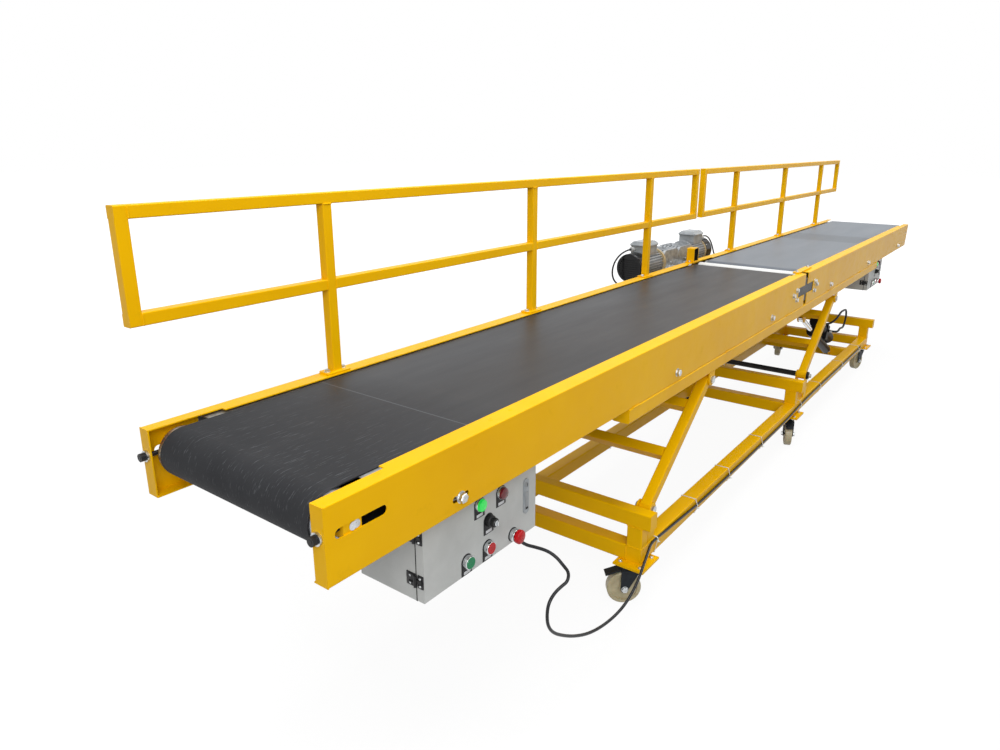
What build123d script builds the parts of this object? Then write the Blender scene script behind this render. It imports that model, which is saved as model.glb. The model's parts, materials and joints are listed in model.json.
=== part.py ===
from build123d import *
import math
import os

# Mobile belt conveyor: two belt sections on a lifting chassis with six swivel castors.
# Built along X from the infeed end, Y across from the operator's side (right, minus) to the
# railing side (left, plus), Z up from the floor. Millimetres.
# At the end every piece is moved so that the origin is the middle of the footprint on the floor.

# Heights, stacked up from the floor
CASTOR_HEIGHT = 160.0
CASTOR_PAD = 8.0
CHASSIS_TUBE = 60.0
UPRIGHT_HEIGHT = 80.0
BEAM_HEIGHT = 60.0
PIVOT_ABOVE_RAIL = 125.0
ARM_LENGTH = 600.0
ARM_ANGLE = 37.5
PIVOT_BELOW_SUBFRAME = 33.0
SUBFRAME_HEIGHT = 50.0
CHANNEL_HEIGHT = 170.0

# Deck
DECK_WIDTH = 650.0
DECK_LENGTH = 6140.0
DRAWN_LENGTH = 6140.0
DRAWN_WIDTH = 650.0


def along(x):
    """A place along the deck, drawn for a deck of DRAWN_LENGTH, on a deck of DECK_LENGTH."""
    return x * DECK_LENGTH / DRAWN_LENGTH


def drawn(x, y, z):
    """A point drawn for a deck of DRAWN_LENGTH and DRAWN_WIDTH, on this deck."""
    return (along(x), y * DECK_WIDTH / DRAWN_WIDTH, z)


JOINT_X = along(3135.0)
JOINT_GAP = 50.0
SHEET = 3.0
FLANGE = 52.0
END_FLANGE = 36.0
END_FLANGE_LENGTH = 188.0
JOINT_FLANGE = 42.0
JOINT_FLANGE_LENGTH = (110.0, 180.0)
BOTTOM_FLANGE = 40.0
FOLD_RADIUS = 6.0
END_RAKE = 46.0
BELT_SIDE_GAP = 60.0
BELT_WIDTH = DECK_WIDTH - 2 * BELT_SIDE_GAP
BELT_THICKNESS = 3.0
BELT_BELOW_FLANGE = 6.0
DRUM_RADIUS = 58.0
DRUM_SIDE_GAP = 45.0
DRUM_LENGTH = DECK_WIDTH - 2 * DRUM_SIDE_GAP
DRUM_RIM = 5.0
DRUM_RECESS = 14.0
DRUM_HUB = 22.0
BEARING_BLOCK = 46.0
BEARING_GAP = 6.0
SHAFT_END_RADIUS = 9.0
RETURN_AXLE_RADIUS = 8.0
HOLE_PLAY = 0.3
WRAP = 2.0
CONNECTOR_REACH = 235.0
CONNECTOR_PLATE = 6.0
INFEED_AXLE_X = 70.0
TENSION_RADIUS = 6.0
TRANSFER_AFTER_JOINT = 35.0
TRANSFER_X = JOINT_X + TRANSFER_AFTER_JOINT
TRANSFER_RADIUS = 30.0
BELT_GAP = 6.0
RETURN_RADIUS = 20.0
RETURN_DROP = 136.0
TIE = 30.0
TIE_WALL = 2.5
TIE_CORNER = 3.0
BED_SHEET = 2.5
BED_SKIRT = 30.0

# Chassis
BEAM_DEPTH = 50.0
BEAM_OVERHANG = 33.0
TUBE_WALL = 4.0
TUBE_CORNER = 5.0
CHASSIS_FRONT = along(1339.0)
CHASSIS_REAR = along(5030.0)
LUG = 6.0
LUG_WIDTH = 50.0
LUG_PLAY = 1.5
PIN_RADIUS = 10.0
SHAFT_RADIUS = 15.0
PIN_FIT = 0.05

# Lift arms
ARM_TUBE = 40.0
ARM_WALL = 3.0
ARM_CORNER = 4.0
FRONT_PIVOT_X = along(1420.0)
REAR_PIVOT_X = along(3370.0)
BUSH_WALL = 8.0
ARM_TIES = (0.38, 0.76)
RAM_EYE_OFFSET = 55.0
RAM_Y = -160.0
RAM_REACH = 1160.0
RAM_BASE_X = REAR_PIVOT_X + RAM_REACH
RAM_LUG_LENGTH = 30.0
CYLINDER_MEMBER_X = RAM_BASE_X + RAM_LUG_LENGTH
RAM_BASE_ABOVE_FLOOR = 208.0
RAM_RADIUS = 28.5
RAM_ROD_RADIUS = 15.0
RAM_BODY = 540.0
RAM_NECK = 36.0
RAM_BLIND = 80.0
RAM_HEAD = 40.0
# The ram's own power pack lies along its barrel: name, start and end from the base pin, radius
PACK_PARTS = (("motor", 80.0, 250.0, 42.0), ("tank", 306.0, 500.0, 38.0))
PACK_BLOCK = (250.0, 306.0)
PACK_BLOCK_WIDTH = 84.0
PACK_AXIS = 76.0
HOSE_RADIUS = 6.5
HOSE_BOSS = 9.0
EYE_HALF = 12.0
EYE_RADIUS = 22.0

# Railing
RAIL_TUBE = 30.0
RAIL_TOP = 508.0
RAIL_MID = 273.0
FOOT_LENGTH = 80.0
FOOT = 6.0
RAIL_CORNER = 3.0

# Castors
WHEEL_RADIUS = 62.5
WHEEL_WIDTH = 36.0
CASTOR_TRAIL = 42.0
FORK_PLATE = 4.0
FORK_GAP = 5.0
WHEEL_BOLT_RADIUS = 6.0

# Control boxes
BOX_WIDTH = 450.0
BOX_HEIGHT = 235.0
BOX_DEPTH = 193.0
BOX_WALL = 2.0
DOOR_DEPTH = 23.0
DOOR_BEHIND_EDGE = 55.0
DOOR_FACE_Y = DOOR_BEHIND_EDGE - DECK_WIDTH / 2
NEAR_BOX_X = along(310.0)
FAR_BOX_X = along(5053.0)
HINGE_OFFSET = 5.0
BEZEL_RADIUS = 14.5
BEZEL_DEPTH = 5.0
# Controls on each door: kind, distance from the door's hinge edge, height above the box's underside,
# radius of the head, how far it stands out from the bezel
CONTROLS = (
    ("green_lamp", 204.0, 174.0, 11.5, 9.0),
    ("red_lamp", 292.0, 171.0, 11.5, 9.0),
    ("knob", 240.0, 114.0, 9.5, 14.0),
    ("mushroom", 344.0, 25.0, 19.0, 24.0),
    ("red_button", 235.0, 40.0, 10.5, 5.0),
    ("green_button", 152.0, 39.0, 10.5, 5.0),
)
LATCH = (402.0, 64.0, 22.0, 104.0, 4.0)

# Cables
CABLE_RADIUS = 5.0
LEAD_RADIUS = 4.5
GLAND_RADIUS = 11.0
GLAND_LENGTH = 22.0

# Gearmotors
GEARBOX_STAND_OFF = 88.0
GEARBOX_WIDTH = 130.0
GEARBOX_LENGTH = 188.0
WORM_OFFSET = 66.0
GEARBOX_BELOW_AXLE = 80.0
GEARBOX_ABOVE_WORM = 66.0
GEARBOX_CORNER = 30.0
GEARBOX_BOSS = 45.0
MOTOR_RADIUS = 71.0
MOTOR_FLANGE_RADIUS = 80.0
MOTOR_FLANGE = 14.0
MOTOR_LENGTH = 206.0
FIN_COUNT = 30
FIN_DEPTH = 8.0
FIN_SHARE = 0.45
COWL_RADIUS = 77.0
COWL_END = 290.0
COWL_ROUNDING = 10.0
GRILLE_DEPTH = 5.0
GRILLE_RADIUS = 60.0
GRILLE_PITCH = 11.5
GRILLE_BAR = 4.5
# Terminal box on each motor: start and end from the gearbox, half width, heights of base and lid over the motor
TERMINAL = (52.0, 192.0, 55.0, 37.0, 22.0)
TERMINAL_RIM = 8.0
MOTOR_GLAND_SIDE = -36.0

# Worked-out places
HALF = DECK_WIDTH / 2
GEARBOX_Y = HALF + GEARBOX_STAND_OFF + GEARBOX_WIDTH / 2
RAIL_Y = HALF + 2 - CHASSIS_TUBE / 2
PAD_TOP = CASTOR_HEIGHT + CASTOR_PAD
RAIL_TOP_Z = PAD_TOP + CHASSIS_TUBE
BEAM_Z = RAIL_TOP_Z + UPRIGHT_HEIGHT
PIVOT_Z = RAIL_TOP_Z + PIVOT_ABOVE_RAIL
ARM_RUN = ARM_LENGTH * math.cos(math.radians(ARM_ANGLE))
ARM_RISE = ARM_LENGTH * math.sin(math.radians(ARM_ANGLE))
TOP_PIVOT_Z = PIVOT_Z + ARM_RISE
SUBFRAME_Z = TOP_PIVOT_Z + PIVOT_BELOW_SUBFRAME
CHANNEL_Z = SUBFRAME_Z + SUBFRAME_HEIGHT
DECK_Z = CHANNEL_Z + CHANNEL_HEIGHT
BELT_Z = DECK_Z - BELT_BELOW_FLANGE
LOOP_RADIUS = DRUM_RADIUS + BELT_THICKNESS
AXLE_Z = BELT_Z - LOOP_RADIUS
RETURN_Z = DECK_Z - RETURN_DROP
SECTION_ENDS = (JOINT_X - JOINT_GAP / 2, JOINT_X + JOINT_GAP / 2)
DRIVE_X = TRANSFER_X - TRANSFER_RADIUS - BELT_GAP - LOOP_RADIUS
SECOND_X = TRANSFER_X + TRANSFER_RADIUS + BELT_GAP + LOOP_RADIUS
TAIL_X = DECK_LENGTH - INFEED_AXLE_X
WEB_INSIDE = HALF - SHEET

# Stations of the chassis: name, front face of the upper beam
STATIONS = (("front", CHASSIS_FRONT), ("middle", along(3177.0)), ("rear", CHASSIS_REAR - BEAM_DEPTH))
# Castors: name, x of the swivel, side (minus is the operator's side), heading of the trail in degrees
CASTORS = (
    ("front_right", along(1365.0), -1, 130.0),
    ("middle_right", along(3205.0), -1, 200.0),
    ("rear_right", along(4970.0), -1, 165.0),
    ("front_left", along(1365.0), 1, 150.0),
    ("middle_left", along(3205.0), 1, 215.0),
    ("rear_left", along(4970.0), 1, 190.0),
)
# Railing frames: name, start, end, x of each post
RAILINGS = (
    ("front", along(-5.0), along(3087.0), (along(555.0), along(1538.0), along(2523.0))),
    ("rear", along(3165.0), along(6155.0), (along(3694.0), along(4666.0), along(5622.0))),
)
# Ends of each drum's shaft across the deck: open axles reach the webs, driven ones the gearboxes
PLATE_INSIDE = WEB_INSIDE - CONNECTOR_PLATE
DRUM_SHAFTS = {
    INFEED_AXLE_X: (-HALF + 1, HALF - 1),
    DRIVE_X: (-PLATE_INSIDE, HALF),
    SECOND_X: (-PLATE_INSIDE, HALF),
    TAIL_X: (-HALF + 1, HALF - 1),
}
# Return rollers of each section, by x
RETURNS = {
    "front": tuple(along(x) for x in (383.0, 1551.0, 2596.0)),
    "rear": tuple(along(x) for x in (3658.0, 4660.0, 5762.0)),
}
# Cross ties under the belts, by x
DECK_TIES = {
    "front": tuple(along(x) for x in (440.0, 690.0, 1240.0, 2100.0, 2820.0)),
    "rear": tuple(along(x) for x in (3400.0, 4200.0, 4930.0, 5120.0, 5420.0)),
}
# Sub-frame cross members, by x of the front face
SUBFRAME_START = along(1197.0)
SUBFRAME_END = along(4986.0)
SUBFRAME_TIES = (SUBFRAME_START, along(2000.0), along(3110.0), along(4000.0), SUBFRAME_END - SUBFRAME_HEIGHT)


def block(x0, x1, y0, y1, z0, z1):
    """A box between two corners."""
    size = (x1 - x0, y1 - y0, z1 - z0)
    return Pos((x0 + x1) / 2, (y0 + y1) / 2, (z0 + z1) / 2) * Box(*size)


def round_y(x, z, y0, y1, radius):
    """A cylinder along Y."""
    return Pos(x, (y0 + y1) / 2, z) * Rot(90, 0, 0) * Cylinder(radius, y1 - y0)


def round_x(y, z, x0, x1, radius):
    """A cylinder along X."""
    return Pos((x0 + x1) / 2, y, z) * Rot(0, 90, 0) * Cylinder(radius, x1 - x0)


def round_z(x, y, z0, z1, radius):
    """A cylinder along Z."""
    return Pos(x, y, (z0 + z1) / 2) * Cylinder(radius, z1 - z0)


def bar(axis, radius, *corners):
    """A bar between two corners whose long edges are rounded."""
    body = block(*corners)
    return fillet(body.edges().filter_by(axis), radius)


def tube_x(x0, x1, y, z, width, height, wall, corner=TUBE_CORNER):
    """A rectangular tube along X, capped at both ends; y is its middle and z its underside."""
    outer = bar(Axis.X, corner, x0, x1, y - width / 2, y + width / 2, z, z + height)
    inner = block(x0 + wall, x1 - wall, y - width / 2 + wall, y + width / 2 - wall, z + wall, z + height - wall)
    return outer - inner


def tube_y(y0, y1, x0, z, depth, height, wall, corner=TUBE_CORNER):
    """A rectangular tube along Y, capped at both ends; x0 is its front face and z its underside."""
    outer = bar(Axis.Y, corner, x0, x0 + depth, y0, y1, z, z + height)
    inner = block(x0 + wall, x0 + depth - wall, y0 + wall, y1 - wall, z + wall, z + height - wall)
    return outer - inner


def tube_z(x0, y, z0, z1, depth, width, wall, corner=TUBE_CORNER):
    """A rectangular tube standing on end."""
    outer = bar(Axis.Z, corner, x0, x0 + depth, y - width / 2, y + width / 2, z0, z1)
    inner = block(x0 + wall, x0 + depth - wall, y - width / 2 + wall, y + width / 2 - wall, z0 + wall, z1 - wall)
    return outer - inner


def slot_y(x0, x1, z, height, y0, y1):
    """A round-ended slot to cut through a web, centred on z."""
    half = height / 2
    slot = block(x0 + half, x1 - half, y0, y1, z - half, z + half)
    return slot + round_y(x0 + half, z, y0, y1, half) + round_y(x1 - half, z, y0, y1, half)


def lug_plate(x, z_pin, z_root, y, radius):
    """A plate with a rounded end round its pin; z_root is the edge that is welded on."""
    low, high = sorted((z_pin, z_root))
    body = block(x - LUG_WIDTH / 2, x + LUG_WIDTH / 2, y - LUG / 2, y + LUG / 2, low, high)
    nose = round_y(x, z_pin, y - LUG / 2, y + LUG / 2, LUG_WIDTH / 2)
    return body + nose - round_y(x, z_pin, y - LUG, y + LUG, radius)


def cable(name, points, radius):
    """A cable whose straight runs are joined by tangent arcs, each as large as its two runs allow."""
    corners = [Vector(*point) for point in points]
    runs = [b - a for a, b in zip(corners, corners[1:])]
    bends = []
    for a, b in zip(runs, runs[1:]):
        half_turn = math.radians(a.get_angle(b)) / 2
        bends.append(0.45 * min(a.length, b.length) / math.tan(half_turn))
    path = FilletPolyline(*points, radius=bends)
    body = sweep(Plane(origin=path @ 0, z_dir=path % 0) * Circle(radius), path=path)
    drawn_volume = math.pi * radius ** 2 * path.length
    print("cable", name, "length", round(path.length), "tightest bend", round(min(bends)),
          "volume", round(body.volume / drawn_volume, 4))
    return body


# Routes of the cables. The hanging one leaves the control box, falls in a kinked loop and rises to the rail.
HANGING = (
    (742, -225, 547.25), (742, -225, 519), (752, -236, 496), (774, -256, 482), (796, -281, 469), (808, -306, 452),
    (815, -328, 431), (836, -340, 408), (826, -343, 384), (792, -344, 387), (752, -345, 386), (724, -345, 370),
    (716, -345, 338), (720, -346, 298), (745, -348, 260), (790, -352, 225), (852, -357, 186), (930, -364, 152),
    (1018, -372, 137), (1105, -380, 143), (1180, -380, 165), (1240, -374, 192), (1296, -362, 213),
    (1352, -348, 223), (1404, -333.309, 227.08), (1431, -333, 226),
)
# Along the outer face of the right rail, through a slot into the rail
ON_RAIL = (
    (1431, -333, 226), (1466, -332.6, 224.6), (1520, -332.4, 220.5), (1606, -332.3, 215), (1740, -332.2, 206),
    (1878, -332.3, 199), (2050, -332.2, 196), (2240, -332.3, 194.6), (2493, -332.2, 192), (2780, -332.3, 191),
    (3010, -332.2, 192), (3130, -332.3, 196), (3241, -332.2, 203), (3400, -332.3, 208), (3600, -332.2, 210),
    (3850, -332.3, 208), (4100, -332.2, 205), (4350, -332.3, 204), (4540, -332.2, 203.4), (4660, -332.3, 203.2),
    (4730, -332.2, 202.6), (4772, -331.6, 203), (4796, -325, 203), (4810, -311, 203),
)
RAIL_SLOT = (4738.0, 4824.0, 203.0, 15.0)
# Leads of the two motors: steps away from the gland's mouth, along the deck, across it and up;
# each ends inside the web
LEADS = {
    "front": (
        (0, 0, 0), (31, 0, 0), (66, 2, -4), (101, 10, -18), (126, 22, -44), (139, 31, -82),
        (141, 32, -122), (135, 21, -157), (122, -12, -184), (108, -62, -199), (101, -120, -204), (100, -196, -205),
    ),
    "rear": (
        (0, 0, 0), (31, 0, 0), (66, -1, -3), (101, -5, -17), (127, -12, -44), (139, -21, -80),
        (141, -32, -118), (139, -52, -152), (135, -82, -176), (131, -124, -186),
    ),
}
# Hose of the power pack, from the base pin: along the ram, across it and above its axis
HOSE = (
    (470, -46, 76), (470, -66, 76), (468, -90, 90), (455, -106, 115), (430, -112, 142),
    (394, -111, 170), (348, -106, 195), (293, -100, 219), (231, -93, 241), (169, -86, 262),
    (116, -81, 279), (77, -78, 291), (48, -76, 293), (21, -75, 284), (0, -74, 263), (-9, -73, 237),
    (-4, -73, 207), (12, -73, 184), (37, -74, 170), (78, -76, 158), (138, -80, 138), (186, -87, 115),
    (228, -91, 98), (252, -92, 88.4), (264, -87, 83.6), (273, -77, 79.9), (278, -64, 78), (278, -50, 78),
)

nodes = {}

# Chassis: two long rails, cross members between them, uprights and the upper beams
nodes["chassis_rails"] = [
    tube_x(CHASSIS_FRONT, CHASSIS_REAR, side * RAIL_Y, PAD_TOP, CHASSIS_TUBE, CHASSIS_TUBE, TUBE_WALL)
    for side in (-1, 1)]
slot_x0, slot_x1, slot_z, slot_height = RAIL_SLOT
nodes["chassis_rails"][0] -= slot_y(along(slot_x0), along(slot_x1), slot_z, slot_height,
                                    -RAIL_Y - CHASSIS_TUBE, -RAIL_Y - CHASSIS_TUBE / 2 + 2 * TUBE_WALL)
rail_inside = RAIL_Y - CHASSIS_TUBE / 2
member_fronts = (CHASSIS_FRONT, STATIONS[1][1], CYLINDER_MEMBER_X, CHASSIS_REAR - CHASSIS_TUBE)
nodes["chassis_cross_members"] = [
    tube_y(-rail_inside, rail_inside, x, PAD_TOP, CHASSIS_TUBE, CHASSIS_TUBE, TUBE_WALL) for x in member_fronts]
nodes["uprights"] = [
    tube_z(x, side * RAIL_Y, RAIL_TOP_Z, BEAM_Z, BEAM_DEPTH, CHASSIS_TUBE, TUBE_WALL)
    for name, x in STATIONS for side in (-1, 1)]
beam_reach = HALF + BEAM_OVERHANG
nodes["upper_beams"] = [
    tube_y(-beam_reach, beam_reach, x, BEAM_Z, BEAM_DEPTH, BEAM_HEIGHT, TUBE_WALL) for name, x in STATIONS]

# Lugs that stand on the rails and carry the arms, and those of the lifting ram
lug_y = ARM_TUBE / 2 + LUG_PLAY + LUG / 2
lugs = []
for x, radius in ((FRONT_PIVOT_X, PIN_RADIUS), (REAR_PIVOT_X, SHAFT_RADIUS)):
    for side in (-1, 1):
        for shift in (-lug_y, lug_y):
            lugs.append(lug_plate(x, PIVOT_Z, RAIL_TOP_Z, side * RAIL_Y + shift, radius))
nodes["chassis_lugs"] = lugs
pins = []
for side in (-1, 1):
    middle = side * RAIL_Y
    reach = lug_y + LUG / 2
    pins.append(round_y(FRONT_PIVOT_X, PIVOT_Z, middle - reach, middle + reach, PIN_RADIUS))
    for end in (-1, 1):
        start, stop = sorted((middle + end * reach, middle + end * (reach + 8)))
        pins.append(round_y(FRONT_PIVOT_X, PIVOT_Z, start, stop, PIN_RADIUS * 1.5))
nodes["chassis_pins"] = [pins[0] + pins[1] + pins[2], pins[3] + pins[4] + pins[5]]
shaft_reach = RAIL_Y + lug_y + LUG / 2
shaft = round_y(REAR_PIVOT_X, PIVOT_Z, -shaft_reach - 14, shaft_reach + 14, SHAFT_RADIUS)
for side in (-1, 1):
    start, stop = sorted((side * shaft_reach, side * (shaft_reach + 10)))
    shaft += round_y(REAR_PIVOT_X, PIVOT_Z, start, stop, SHAFT_RADIUS * 1.45)
nodes["rear_pivot_shaft"] = [shaft]

# Lift arms
lean = math.radians(ARM_ANGLE)


def arm_pair(pivot_x, base_radius):
    """Two tube arms with a bush at each end and cross tubes between them, leaning back as parked."""
    top_x = pivot_x + ARM_RUN
    pair = Part()
    for side in (-1, 1):
        y = side * RAIL_Y
        start = base_radius + PIN_FIT
        long = ARM_LENGTH
        tube = bar(Axis.X, ARM_CORNER, -long / 2, long / 2, -ARM_TUBE / 2, ARM_TUBE / 2, -ARM_TUBE / 2, ARM_TUBE / 2)
        tube -= Box(long, ARM_TUBE - 2 * ARM_WALL, ARM_TUBE - 2 * ARM_WALL)
        tube = Pos(pivot_x + ARM_RUN / 2, y, PIVOT_Z + ARM_RISE / 2) * Rot(0, -ARM_ANGLE, 0) * tube
        for x, z, radius in ((pivot_x, PIVOT_Z, start), (top_x, TOP_PIVOT_Z, PIN_RADIUS + PIN_FIT)):
            tube += round_y(x, z, y - ARM_TUBE / 2, y + ARM_TUBE / 2, radius + BUSH_WALL)
            tube -= round_y(x, z, y - ARM_TUBE, y + ARM_TUBE, radius)
        pair += tube
    span = 2 * (RAIL_Y - ARM_TUBE / 2)
    for share in ARM_TIES:
        tie = bar(Axis.Y, ARM_CORNER, -ARM_TUBE / 2, ARM_TUBE / 2, -span / 2, span / 2, -ARM_TUBE / 2, ARM_TUBE / 2)
        tie -= Box(ARM_TUBE - 2 * ARM_WALL, span, ARM_TUBE - 2 * ARM_WALL)
        tie = Pos(pivot_x + ARM_RUN * share, 0, PIVOT_Z + ARM_RISE * share) * Rot(0, -ARM_ANGLE, 0) * tie
        pair += tie
    return pair


nodes["front_arms"] = [arm_pair(FRONT_PIVOT_X, PIN_RADIUS)]

# The ram pushes on two plates welded to the upper cross tube of the rear arms
push_x = REAR_PIVOT_X + ARM_RUN * ARM_TIES[1]
push_z = PIVOT_Z + ARM_RISE * ARM_TIES[1]
eye_x = push_x + RAM_EYE_OFFSET * math.sin(lean)
eye_z = push_z - RAM_EYE_OFFSET * math.cos(lean)
ram_dx = eye_x - RAM_BASE_X
ram_dz = eye_z - RAM_BASE_ABOVE_FLOOR
ram_length = math.hypot(ram_dx, ram_dz)
ram_angle = math.degrees(math.atan2(ram_dz, -ram_dx))
ram_lug_y = EYE_HALF + LUG_PLAY + LUG / 2
rear = arm_pair(REAR_PIVOT_X, SHAFT_RADIUS)
for shift in (-ram_lug_y, ram_lug_y):
    plate_length = RAM_EYE_OFFSET - ARM_TUBE / 2
    plate = Pos(0, 0, -ARM_TUBE / 2 - plate_length / 2) * Box(LUG_WIDTH, LUG, plate_length)
    plate += Pos(0, 0, -RAM_EYE_OFFSET) * Rot(90, 0, 0) * Cylinder(LUG_WIDTH / 2, LUG)
    plate += Pos(0, 0, -RAM_EYE_OFFSET) * Rot(90, 0, 0) * Cylinder(PIN_RADIUS * 1.4, LUG)
    rear += Pos(push_x, RAM_Y + shift, push_z) * Rot(0, -ARM_ANGLE, 0) * plate
nodes["rear_arms"] = [rear]

# Lifting ram: barrel on the chassis, chromed rod with its eye at the arms
ram_place = Pos(RAM_BASE_X, RAM_Y, RAM_BASE_ABOVE_FLOOR) * Rot(0, ram_angle, 0)
barrel_length = RAM_BODY - RAM_NECK
barrel = Pos(-RAM_NECK - barrel_length / 2, 0, 0) * Rot(0, 90, 0) * Cylinder(RAM_RADIUS, barrel_length)
barrel += Rot(90, 0, 0) * Cylinder(EYE_RADIUS, 2 * EYE_HALF)
barrel += Pos(-RAM_NECK / 2, 0, 0) * Box(RAM_NECK, 2 * EYE_HALF, 1.6 * EYE_RADIUS)
barrel += Pos(-RAM_BODY + RAM_HEAD / 2, 0, 0) * Rot(0, 90, 0) * Cylinder(RAM_RADIUS + 5, RAM_HEAD)
for name, start, stop, radius in PACK_PARTS:
    barrel += Pos(-(start + stop) / 2, 0, PACK_AXIS) * Rot(0, 90, 0) * Cylinder(radius, stop - start)
pack_block = bar(Axis.X, TUBE_CORNER, -PACK_BLOCK[1], -PACK_BLOCK[0], -PACK_BLOCK_WIDTH / 2, PACK_BLOCK_WIDTH / 2,
                 RAM_RADIUS / 2, PACK_AXIS + PACK_BLOCK_WIDTH / 2)
barrel += pack_block
for (u, tip, height), root in ((HOSE[0], PACK_PARTS[1][3] - 8), (HOSE[-1], PACK_BLOCK_WIDTH / 2 - 2)):
    barrel += round_y(-u, height, tip, -root, HOSE_BOSS)
bore_length = RAM_BODY - RAM_BLIND
barrel -= Pos(-RAM_BODY + bore_length / 2, 0, 0) * Rot(0, 90, 0) * Cylinder(RAM_ROD_RADIUS + PIN_FIT, bore_length)
barrel -= Rot(90, 0, 0) * Cylinder(PIN_RADIUS + PIN_FIT, 4 * EYE_HALF)
nodes["ram_barrel"] = [ram_place * barrel]
ROD_INSIDE = 250.0
rod_start = RAM_BODY - ROD_INSIDE
rod_length = ram_length - RAM_NECK - rod_start
rod = Pos(-rod_start - rod_length / 2, 0, 0) * Rot(0, 90, 0) * Cylinder(RAM_ROD_RADIUS, rod_length)
rod += Pos(RAM_NECK / 2 - ram_length, 0, 0) * Box(RAM_NECK, 2 * EYE_HALF, 1.3 * EYE_RADIUS)
rod += Pos(-ram_length, 0, 0) * Rot(90, 0, 0) * Cylinder(EYE_RADIUS, 2 * EYE_HALF)
nodes["ram_rod"] = [ram_place * rod]
nodes["ram_hoses"] = [ram_place * cable("ram_hose", [(-u, y, v) for u, y, v in HOSE], HOSE_RADIUS)]
ram_lugs = []
for shift in (-ram_lug_y, ram_lug_y):
    y = RAM_Y + shift
    plate = block(RAM_BASE_X, CYLINDER_MEMBER_X, y - LUG / 2, y + LUG / 2, RAM_BASE_ABOVE_FLOOR - 25, RAM_BASE_ABOVE_FLOOR + 20)
    plate += round_y(RAM_BASE_X, RAM_BASE_ABOVE_FLOOR, y - LUG / 2, y + LUG / 2, LUG_WIDTH / 2)
    plate -= round_y(RAM_BASE_X, RAM_BASE_ABOVE_FLOOR, y - LUG, y + LUG, PIN_RADIUS)
    ram_lugs.append(plate)
nodes["chassis_lugs"] += ram_lugs
pin_reach = ram_lug_y + LUG / 2
ram_pin = round_y(RAM_BASE_X, RAM_BASE_ABOVE_FLOOR, RAM_Y - pin_reach - 4, RAM_Y + pin_reach + 4, PIN_RADIUS)
nodes["chassis_pins"].append(ram_pin)

# Castor pads, top plates, forks and wheels
pads = []
tops = []
swivel_places = {}
axle_places = {}
for name, x, side, heading in CASTORS:
    y = side * RAIL_Y
    pads.append(block(x - 65, x + 65, y - 60, y + 60, CASTOR_HEIGHT, PAD_TOP))
    top = block(x - 52, x + 52, y - 42, y + 42, CASTOR_HEIGHT - 4, CASTOR_HEIGHT)
    top += round_z(x, y, CASTOR_HEIGHT - 14, CASTOR_HEIGHT - 4, 31)
    top -= round_z(x, y, CASTOR_HEIGHT - 20, CASTOR_HEIGHT - 4, 8 + PIN_FIT)
    tops.append(top)
    crown = 2 * WHEEL_RADIUS + 8
    leg_y = WHEEL_WIDTH / 2 + FORK_GAP
    fork = Pos(0, 0, crown + FORK_PLATE / 2) * Cylinder(30, FORK_PLATE)
    fork += Pos(CASTOR_TRAIL / 2, 0, crown + FORK_PLATE / 2) * Box(70, 2 * (leg_y + FORK_PLATE), FORK_PLATE)
    fork += Pos(0, 0, (crown + CASTOR_HEIGHT - 14.5) / 2) * Cylinder(25, CASTOR_HEIGHT - 14.5 - crown)
    fork += Pos(0, 0, (crown + CASTOR_HEIGHT - 6) / 2) * Cylinder(8, CASTOR_HEIGHT - 6 - crown)
    for leg in (-1, 1):
        outline = Polyline(
            (CASTOR_TRAIL / 2 - 35, crown + FORK_PLATE), (CASTOR_TRAIL / 2 + 35, crown + FORK_PLATE),
            (CASTOR_TRAIL + 14, WHEEL_RADIUS), (CASTOR_TRAIL - 14, WHEEL_RADIUS), close=True)
        leg_face = make_face(Plane.XZ * outline)
        plate = extrude(leg_face, FORK_PLATE / 2, both=True)
        plate = Pos(0, leg * (leg_y + FORK_PLATE / 2), 0) * plate
        plate += Pos(CASTOR_TRAIL, leg * (leg_y + FORK_PLATE / 2), WHEEL_RADIUS) * Rot(90, 0, 0) * Cylinder(14, FORK_PLATE)
        fork += plate
    bolt_reach = leg_y + FORK_PLATE
    fork += Pos(CASTOR_TRAIL, 0, WHEEL_RADIUS) * Rot(90, 0, 0) * Cylinder(WHEEL_BOLT_RADIUS, 2 * bolt_reach)
    for leg in (-1, 1):
        fork += Pos(CASTOR_TRAIL, leg * (bolt_reach + 4), WHEEL_RADIUS) * Rot(90, 0, 0) * Cylinder(10, 8)
    pedal = Pos(CASTOR_TRAIL / 2 + 62, 0, crown - 6) * Rot(0, 18, 0) * Box(62, 40, 4)
    fork += pedal
    place = Pos(x, y, 0) * Rot(0, 0, heading)
    nodes["castor_fork_" + name] = [place * fork]
    wheel = Cylinder(WHEEL_RADIUS, WHEEL_WIDTH)
    wheel = chamfer(wheel.edges().filter_by(GeomType.CIRCLE), 4)
    for face in (-1, 1):
        wheel -= Pos(0, 0, face * WHEEL_WIDTH / 2) * (Cylinder(48, 10) - Cylinder(20, 10))
    wheel -= Cylinder(WHEEL_BOLT_RADIUS + PIN_FIT, WHEEL_WIDTH)
    nodes["castor_wheel_" + name] = [place * Pos(CASTOR_TRAIL, 0, WHEEL_RADIUS) * Rot(90, 0, 0) * wheel]
    swivel_places[name] = (x, y, CASTOR_HEIGHT)
    turn = math.radians(heading)
    axle_places[name] = (x + CASTOR_TRAIL * math.cos(turn), y + CASTOR_TRAIL * math.sin(turn), WHEEL_RADIUS, heading)
nodes["castor_pads"] = pads
nodes["castor_top_plates"] = tops

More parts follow.
